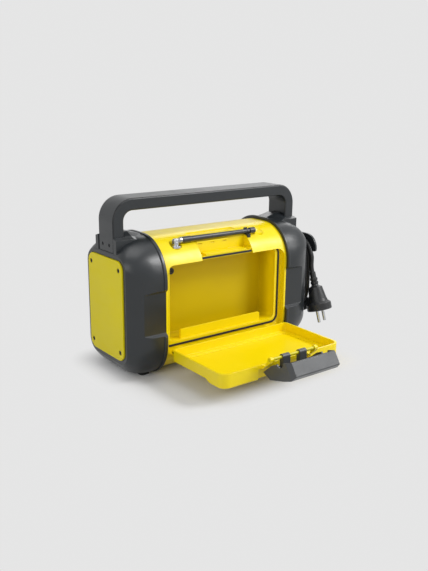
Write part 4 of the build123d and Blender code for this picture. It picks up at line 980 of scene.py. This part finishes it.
# ---------------------------------------------------------------- sub-assemblies
@dataclass
class SpeakerSide:
    """What the fascia's own solids leave out: perforated sheets, surrounds and knob marks."""

    speaker_x: float = mm(56.5)
    speaker_z: float = mm(97.0)
    sheet_y: float = mm(62.6)
    sheet_radius: float = mm(30.4)
    sheet_thickness: float = mm(0.5)
    hole_pitch: float = mm(2.6)
    hole_share: float = 0.72
    spare_rows: int = 4
    surround_y: float = mm(57.6)
    surround_inner: float = mm(22.8)
    surround_outer: float = mm(27.7)
    surround_thickness: float = mm(0.4)
    roll_flatness: float = 0.75
    roll_steps: int = 10
    knob_x: float = mm(11.5)
    knob_z: float = mm(101.0)
    knob_face: float = mm(77.6)
    mark_out: float = mm(5.0)
    mark_size: Point = mm(1.2, 0.5, 4.6)
    mark_rounding: float = mm(0.2)
    mark_steps: int = 2
    mark_profile: float = 0.5

    def facing_out(self, side: Side, y: float) -> Matrix:
        """Places a piece that was made flat round the origin in front of a speaker, at that y."""
        middle = (side.value * self.speaker_x, y, self.speaker_z)
        return Matrix.Translation(middle) @ Matrix.Rotation(math.radians(-90), 4, "X")

    def honeycomb(self, pattern: PatternTree) -> Signal:
        """A flat field of hexagons, wider than the sheet.

        Args:
            pattern: The tree that it is built in.

        Returns:
            The field's geometry.
        """
        rows = int(2 * self.sheet_radius / self.hole_pitch) + self.spare_rows
        pitch = pattern.size("Pitch")
        width = pitch * (rows - 1)
        grid = pattern.signal(
            "GeometryNodeMeshGrid",
            {"Size X": width, "Size Y": width, "Vertices X": rows, "Vertices Y": rows},
            "Mesh",
        )
        # Every second row is moved half a pitch, so that the grid's dual is a honeycomb.
        row = pattern.signal("GeometryNodeInputIndex").remainder(rows)
        odd = row.remainder(2)
        shift = pattern.signal("ShaderNodeCombineXYZ", {0: odd * (pitch * 0.5)})
        staggered = pattern.signal("GeometryNodeSetPosition", {"Geometry": grid, "Offset": shift})
        tight = pattern.signal(
            "GeometryNodeTransform",
            {"Geometry": staggered, "Scale": (1.0, math.sqrt(3) / 2, 1.0)},
        )
        split = pattern.signal("GeometryNodeTriangulate", {0: tight})
        return pattern.signal("GeometryNodeDualMesh", {0: split})

    def pierced_disc(self, pattern: PatternTree, field: Signal) -> Signal:
        """Cuts a field of hexagons to a round sheet and pierces each of them.

        Args:
            pattern: The tree that it is built in.
            field: The field's geometry.

        Returns:
            The sheet's geometry, with its thickness.
        """
        middle = pattern.signal("GeometryNodeInputPosition")
        away = pattern.signal("ShaderNodeVectorMath", {0: middle}, "Value", operation="LENGTH")
        outside = pattern.signal(
            "FunctionNodeCompare",
            {0: away, 1: pattern.size("Radius")},
            data_type="FLOAT",
            operation="GREATER_THAN",
        )
        disc = pattern.signal(
            "GeometryNodeDeleteGeometry", {"Geometry": field, "Selection": outside}, domain="FACE"
        )
        inset = pattern.node(
            "GeometryNodeExtrudeMesh",
            {"Mesh": disc, "Offset Scale": 0.0, "Individual": True},
            mode="FACES",
        )
        tops = Signal(pattern, inset.outputs["Top"])
        holes = pattern.signal(
            "GeometryNodeScaleElements",
            {
                "Geometry": Signal(pattern, inset.outputs["Mesh"]),
                "Selection": tops,
                "Scale": pattern.size("Hole"),
            },
            domain="FACE",
        )
        opened = pattern.signal(
            "GeometryNodeDeleteGeometry", {"Geometry": holes, "Selection": tops}, domain="FACE"
        )
        return pattern.signal(
            "GeometryNodeExtrudeMesh",
            {"Mesh": opened, "Offset Scale": pattern.size("Thickness"), "Individual": False},
            "Mesh",
            mode="FACES",
        )

    def perforated_sheet(self, side: Side, finish: bpy.types.Material) -> bpy.types.Object:
        """The honeycomb sheet behind one grille's louvres.

        Args:
            side: The speaker's side.
            finish: The sheet's material.

        Returns:
            The new object.
        """
        pattern = PatternTree(
            "honeycomb_sheet",
            {
                "Radius": self.sheet_radius,
                "Pitch": self.hole_pitch,
                "Hole": self.hole_share,
                "Thickness": self.sheet_thickness,
            },
        )
        sheet = self.pierced_disc(pattern, self.honeycomb(pattern))
        place = self.facing_out(side, self.sheet_y)
        return pattern.run(f"speaker_sheet_{side.name.lower()}", sheet, finish, place)

    def surround(self, side: Side) -> bpy.types.Object:
        """The cone's rolled rubber edge.

        Args:
            side: The speaker's side.

        Returns:
            The new object.
        """
        middle = (self.surround_inner + self.surround_outer) / 2
        half = (self.surround_outer - self.surround_inner) / 2
        turns = [math.pi * step / self.roll_steps for step in range(self.roll_steps + 1)]
        roll = [
            (middle + half * math.cos(turn), half * math.sin(turn) * self.roll_flatness)
            for turn in turns
        ]
        under = [(radius, height - self.surround_thickness) for radius, height in reversed(roll)]
        place = self.facing_out(side, self.surround_y)
        return turned_ring(f"cone_surround_{side.name.lower()}", roll + under, place)

    def knob_mark(self, name: str, x: float) -> bpy.types.Object:
        """The moulded pointer ridge on a knob's face.

        Args:
            name: The piece's name.
            x: The knob's place along the radio.

        Returns:
            The new object.
        """
        build = bmesh.new()
        bmesh.ops.create_cube(build, size=1.0)
        bmesh.ops.scale(build, vec=self.mark_size, verts=build.verts)
        bmesh.ops.bevel(
            build,
            geom=build.edges[:],
            offset=self.mark_rounding,
            segments=self.mark_steps,
            affect="EDGES",
            profile=self.mark_profile,
        )
        middle = (x, self.knob_face, self.knob_z + self.mark_out)
        bmesh.ops.translate(build, vec=middle, verts=build.verts)
        return new_piece(name, mesh_from(name, build))

    def build(self, shelf: FinishShelf) -> None:
        """Makes and seats the pieces of this side.

        Args:
            shelf: The finishes.
        """
        for side in Side:
            sheet = self.perforated_sheet(side, shelf["grille_steel"])
            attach(sheet, "radio")
            ring = self.surround(side)
            shelf.dress(ring, "seal_rubber")
            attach(ring, "radio")
            log.info("%s speaker: sheet of %d faces", side.name.lower(), len(sheet.data.polygons))
        for name, x, body in (
            ("volume_mark", -self.knob_x, "volume"),
            ("tuning_mark", self.knob_x, "tuning"),
        ):
            mark = self.knob_mark(name, x)
            shelf.dress(mark, "bar_yellow")
            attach(mark, body)
            log.info("%s on body %s", name, body)


@dataclass
class MainsLead:
    """The lead: up from its gland, round the wrap in layers, and down to the plug.

    Its sizes are in millimetres, apart from the diameter. Its angles are in degrees, from the
    speakers' side (+Y) over the top.
    """

    diameter: float = mm(7.0)
    middle_z: float = 99.0
    saddle_half_depth: float = 23.2
    saddle_half_height: float = 42.7
    saddle_radius: float = 20.0
    # Where each row lies along X, and how far each layer's line lies outside the saddles.
    rows: Tuple[float, float, float] = (168.8, 175.8, 182.8)
    layer_grow: Tuple[float, float, float] = (3.8, 10.8, 17.9)
    # The layer and the row of each turn, from the inmost. The last one is half a turn.
    courses: Tuple[Tuple[int, int], ...] = (
        (0, 0), (0, 1), (0, 2), (1, 2), (1, 1), (1, 0), (2, 2),
    )
    # The angles of a turn's control points, and the ones before its two straight sides.
    turn_step: int = 30
    door_side: int = 165
    speaker_side: int = 345
    # The angles over which a turn moves to its next row, under the loop.
    cross_from: float = 195.0
    cross_over: float = 150.0
    side_offset: float = 1.5
    curve_order: int = 3
    curve_steps: int = 6
    sheath_steps: int = 4
    rise: Tuple[Point, ...] = (
        (168.8, 12.0, 83.5),
        (168.8, 12.0, 89.0),
        (168.8, 13.3, 95.0),
        (168.8, 16.0, 100.6),
        (168.8, 22.4, 112.0),
        (168.8, 26.2, 119.0),
    )
    fall: Tuple[Point, ...] = (
        (182.8, -41.1, 121.7),
        (182.8, -41.1, 116.5),
        (182.8, -41.87, 110.57),
        (183.0, -43.4, 105.6),
    )

    def turn_point(self, angle: float, grow: float, x: float) -> Point:
        """A control point of a turn, outside the loop so that the curve lies on it.

        Args:
            angle: Degrees from the speakers' side (+Y) over the top.
            grow: How far the turn's line lies outside the saddles.
            x: Its place across the wrap.

        Returns:
            The point, in millimetres.
        """
        turn = math.radians(angle)
        reach = (self.saddle_radius + grow) / math.cos(math.radians(self.turn_step / 2))
        flat_y = math.copysign(self.saddle_half_depth - self.saddle_radius, math.cos(turn))
        flat_z = math.copysign(self.saddle_half_height - self.saddle_radius, math.sin(turn))
        return (
            x,
            flat_y + reach * math.cos(turn),
            self.middle_z + flat_z + reach * math.sin(turn),
        )

    def side_point(self, side: int, grow: float, x: float) -> Point:
        """A control point on a turn's straight side.

        Args:
            side: -1 for the door's side, 1 for the speakers' side.
            grow: How far the turn's line lies outside the saddles.
            x: Its place across the wrap.

        Returns:
            The point, in millimetres.
        """
        return (
            x,
            side * (self.saddle_half_depth + grow),
            self.middle_z + self.side_offset * side,
        )

    def turns(self) -> Sequence[Point]:
        """The winding, which lies on the saddles and then on its own lower layers.

        Returns:
            Its control points, in millimetres, from the first corner to the last one.
        """
        first = self.turn_step // 2
        points = []
        for (layer, row), (next_layer, next_row) in zip(self.courses, self.courses[1:]):
            for angle in range(first, 360, self.turn_step):
                share = min(1.0, max(0.0, (angle - self.cross_from) / self.cross_over))
                grow = self.layer_grow[layer]
                grow += share * (self.layer_grow[next_layer] - grow)
                x = self.rows[row] + share * (self.rows[next_row] - self.rows[row])
                points.append(self.turn_point(angle, grow, x))
                if angle == self.door_side:
                    points.append(self.side_point(-1, grow, x))
                elif angle == self.speaker_side:
                    points.append(self.side_point(1, grow, x))
        layer, row = self.courses[-1]
        for angle in range(first, self.door_side + 1, self.turn_step):
            points.append(self.turn_point(angle, self.layer_grow[layer], self.rows[row]))
        return points

    def route(self) -> Sequence[Vector]:
        """The whole lead's control points, in metres."""
        points = list(self.rise) + list(self.turns()) + list(self.fall)
        return [Vector(mm(*point)) for point in points]

    @staticmethod
    def length(curve: bpy.types.Curve) -> float:
        """Measures the middle line of a curve.

        Args:
            curve: The curve, which is left as it is.

        Returns:
            The line's length, in metres.
        """
        bare = curve.copy()
        bare.bevel_depth = 0.0
        probe = bpy.data.objects.new("lead_probe", bare)
        line = bpy.data.meshes.new_from_object(probe)
        places = [vertex.co for vertex in line.vertices]
        total = sum((b - a).length for a, b in zip(places, places[1:]))
        bpy.data.objects.remove(probe)
        bpy.data.meshes.remove(line)
        bpy.data.curves.remove(bare)
        return total

    def build(self, shelf: FinishShelf) -> None:
        """Args:
            shelf: The finishes.
        """
        route = self.route()
        curve = bpy.data.curves.new("mains_lead", "CURVE")
        curve.dimensions = "3D"
        spline = curve.splines.new("NURBS")
        spline.points.add(len(route) - 1)
        for target, point in zip(spline.points, route):
            target.co = (*point, 1.0)
        spline.order_u = self.curve_order
        spline.use_endpoint_u = True
        spline.resolution_u = self.curve_steps
        curve.bevel_depth = self.diameter / 2
        curve.bevel_resolution = self.sheath_steps
        curve.use_fill_caps = True
        curve.materials.append(shelf["cord_black"])
        lead = bpy.data.objects.new("mains_lead", curve)
        bpy.context.scene.collection.objects.link(lead)
        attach(lead, "radio")
        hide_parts("cord_lead", "cord_coil", "cord_tail")
        length = self.length(curve)
        log.info("mains lead: %d control points, %.3f m", len(route), length)


# ---------------------------------------------------------------- studio
@dataclass(frozen=True)
class SoftBox:
    """One rectangular lamp that faces a point. Its power is in watts."""

    name: str
    place: Point
    aim: Point
    width: float
    height: float
    power: float

    def build(self) -> None:
        """Makes the lamp."""
        lamp = bpy.data.lights.new(self.name, "AREA")
        lamp.shape = "RECTANGLE"
        lamp.size = self.width
        lamp.size_y = self.height
        lamp.energy = self.power
        thing = bpy.data.objects.new(self.name, lamp)
        toward = (Vector(self.aim) - Vector(self.place)).to_track_quat("-Z", "Y")
        thing.matrix_world = Matrix.Translation(self.place) @ toward.to_matrix().to_4x4()
        bpy.context.scene.collection.objects.link(thing)


STAGE_MIDDLE: Point = (0.0, 0.0, 0.1)
WHITE: Colour = (1.0, 1.0, 1.0)


@dataclass
class Studio:
    """Pale floor that fades into an even backdrop, soft lamps and the camera.

    The camera's focal length is in pixels of a picture of frame_pixels, its angles in degrees.
    """

    backdrop: Colour = (0.787, 0.787, 0.787)
    floor_colour: Colour = (0.80, 0.80, 0.80)
    floor_radius: float = 14.0
    floor_steps: int = 96
    stand_middle_y: float = -0.04
    stand_half: Tuple[float, float] = (0.13, 0.095)
    fade_width: float = 0.06
    ambient: float = 0.33
    lamps: Tuple[SoftBox, ...] = (
        SoftBox("key_box", (0.98, -1.02, 1.30), STAGE_MIDDLE, width=0.66, height=0.5, power=17.0),
        SoftBox("low_box", (1.15, -1.30, 0.80), (0.0, -0.2, 0.05), width=0.8, height=0.45, power=4.0),
        SoftBox("top_box", (-0.1, -0.1, 2.2), STAGE_MIDDLE, width=1.6, height=1.3, power=12.0),
        SoftBox("rim_box", (1.3, 1.0, 1.35), STAGE_MIDDLE, width=1.2, height=1.2, power=10.0),
        SoftBox("fill_box", (-1.7, -1.1, 1.0), STAGE_MIDDLE, width=1.4, height=1.2, power=8.0),
    )
    camera_place: Point = (-0.59352, -0.80387, 0.37466)
    heading: float = 37.39
    pitch: float = 15.25
    roll: float = 0.6
    focal_pixels: float = 701.09
    frame_pixels: Tuple[int, int] = (428, 571)
    sensor_width: float = 36.0
    nearest: float = 0.02
    farthest: float = 60.0

    def floor(self) -> None:
        """A wide disc, lit round the object's stand and plain backdrop further out."""
        build = bmesh.new()
        bmesh.ops.create_circle(
            build, cap_ends=True, segments=self.floor_steps, radius=self.floor_radius
        )
        floor = new_piece("studio_floor", mesh_from("studio_floor", build))
        graph = NodeGraph.for_finish("studio_paper")
        half_x, half_y = self.stand_half
        beside = (graph.axis("X").size() - half_x).at_least(0.0)
        before = ((graph.axis("Y") - self.stand_middle_y).size() - half_y).at_least(0.0)
        fade = beside.across(before).above(0.0, self.fade_width)
        paper = graph.signal(
            "ShaderNodeBsdfDiffuse", {"Color": self.floor_colour, "Roughness": 1.0}
        )
        glow = graph.signal("ShaderNodeEmission", {"Color": self.backdrop, "Strength": 1.0})
        shares = {0: fade * self._seen(graph), 1: paper, 2: glow}
        mixed = graph.signal("ShaderNodeMixShader", shares)
        graph.node("ShaderNodeOutputMaterial", {"Surface": mixed})
        floor.data.materials.append(graph.owner)

    def sky(self) -> None:
        """An even world: the backdrop's colour where it is seen, the ambient level elsewhere."""
        world = bpy.data.worlds.new("studio_air")
        bpy.context.scene.world = world
        graph = NodeGraph(world)
        air = graph.signal("ShaderNodeBackground", {"Color": WHITE, "Strength": self.ambient})
        paper = graph.signal("ShaderNodeBackground", {"Color": self.backdrop, "Strength": 1.0})
        mixed = graph.signal("ShaderNodeMixShader", {0: self._seen(graph), 1: air, 2: paper})
        graph.node("ShaderNodeOutputWorld", {"Surface": mixed})

    @staticmethod
    def _seen(graph: NodeGraph) -> Signal:
        """Tells the rays that show the backdrop from those that light the object.

        Args:
            graph: The tree that it is built in.

        Returns:
            1 for camera, mirror and glass rays, 0 for the others.
        """
        rays = graph.node("ShaderNodeLightPath")
        camera = Signal(graph, rays.outputs["Is Camera Ray"])
        glossy = Signal(graph, rays.outputs["Is Glossy Ray"])
        through = Signal(graph, rays.outputs["Is Transmission Ray"])
        return (camera + glossy + through).at_most(1.0)

    def camera(self) -> None:
        """The camera at its measured place."""
        lens = bpy.data.cameras.new("studio_camera")
        lens.sensor_width = self.sensor_width
        lens.lens = self.focal_pixels / max(self.frame_pixels) * self.sensor_width
        lens.clip_start = self.nearest
        lens.clip_end = self.farthest
        thing = bpy.data.objects.new("studio_camera", lens)
        thing.matrix_world = (
            Matrix.Translation(self.camera_place)
            @ Matrix.Rotation(math.radians(-self.heading), 4, "Z")
            @ Matrix.Rotation(math.radians(90 - self.pitch), 4, "X")
            @ Matrix.Rotation(math.radians(self.roll), 4, "Z")
        )
        bpy.context.scene.collection.objects.link(thing)
        bpy.context.scene.camera = thing

    def build(self) -> None:
        """Makes the floor, the world, the lamps and the camera."""
        bpy.context.scene.view_settings.view_transform = "Standard"
        self.floor()
        self.sky()
        for lamp in self.lamps:
            lamp.build()
        self.camera()
        log.info("studio: %d lamps", len(self.lamps))


def clear_scene() -> None:
    """Empties the start-up scene."""
    for thing in list(bpy.data.objects):
        bpy.data.objects.remove(thing)


def main() -> None:
    """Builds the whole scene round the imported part."""
    logging.basicConfig(level=logging.INFO, format="%(name)s: %(message)s")
    clear_scene()
    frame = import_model()
    shelf = FinishShelf(FINISHES)
    log.info("%d nodes dressed", shelf.dress_nodes(frame))
    for node, finish in SPECIAL_FINISHES.items():
        shelf.dress(frame["nodes"][node], finish)
    Studio().build()
    MainsLead().build(shelf)
    SpeakerSide().build(shelf)


if __name__ == "__main__":
    main()
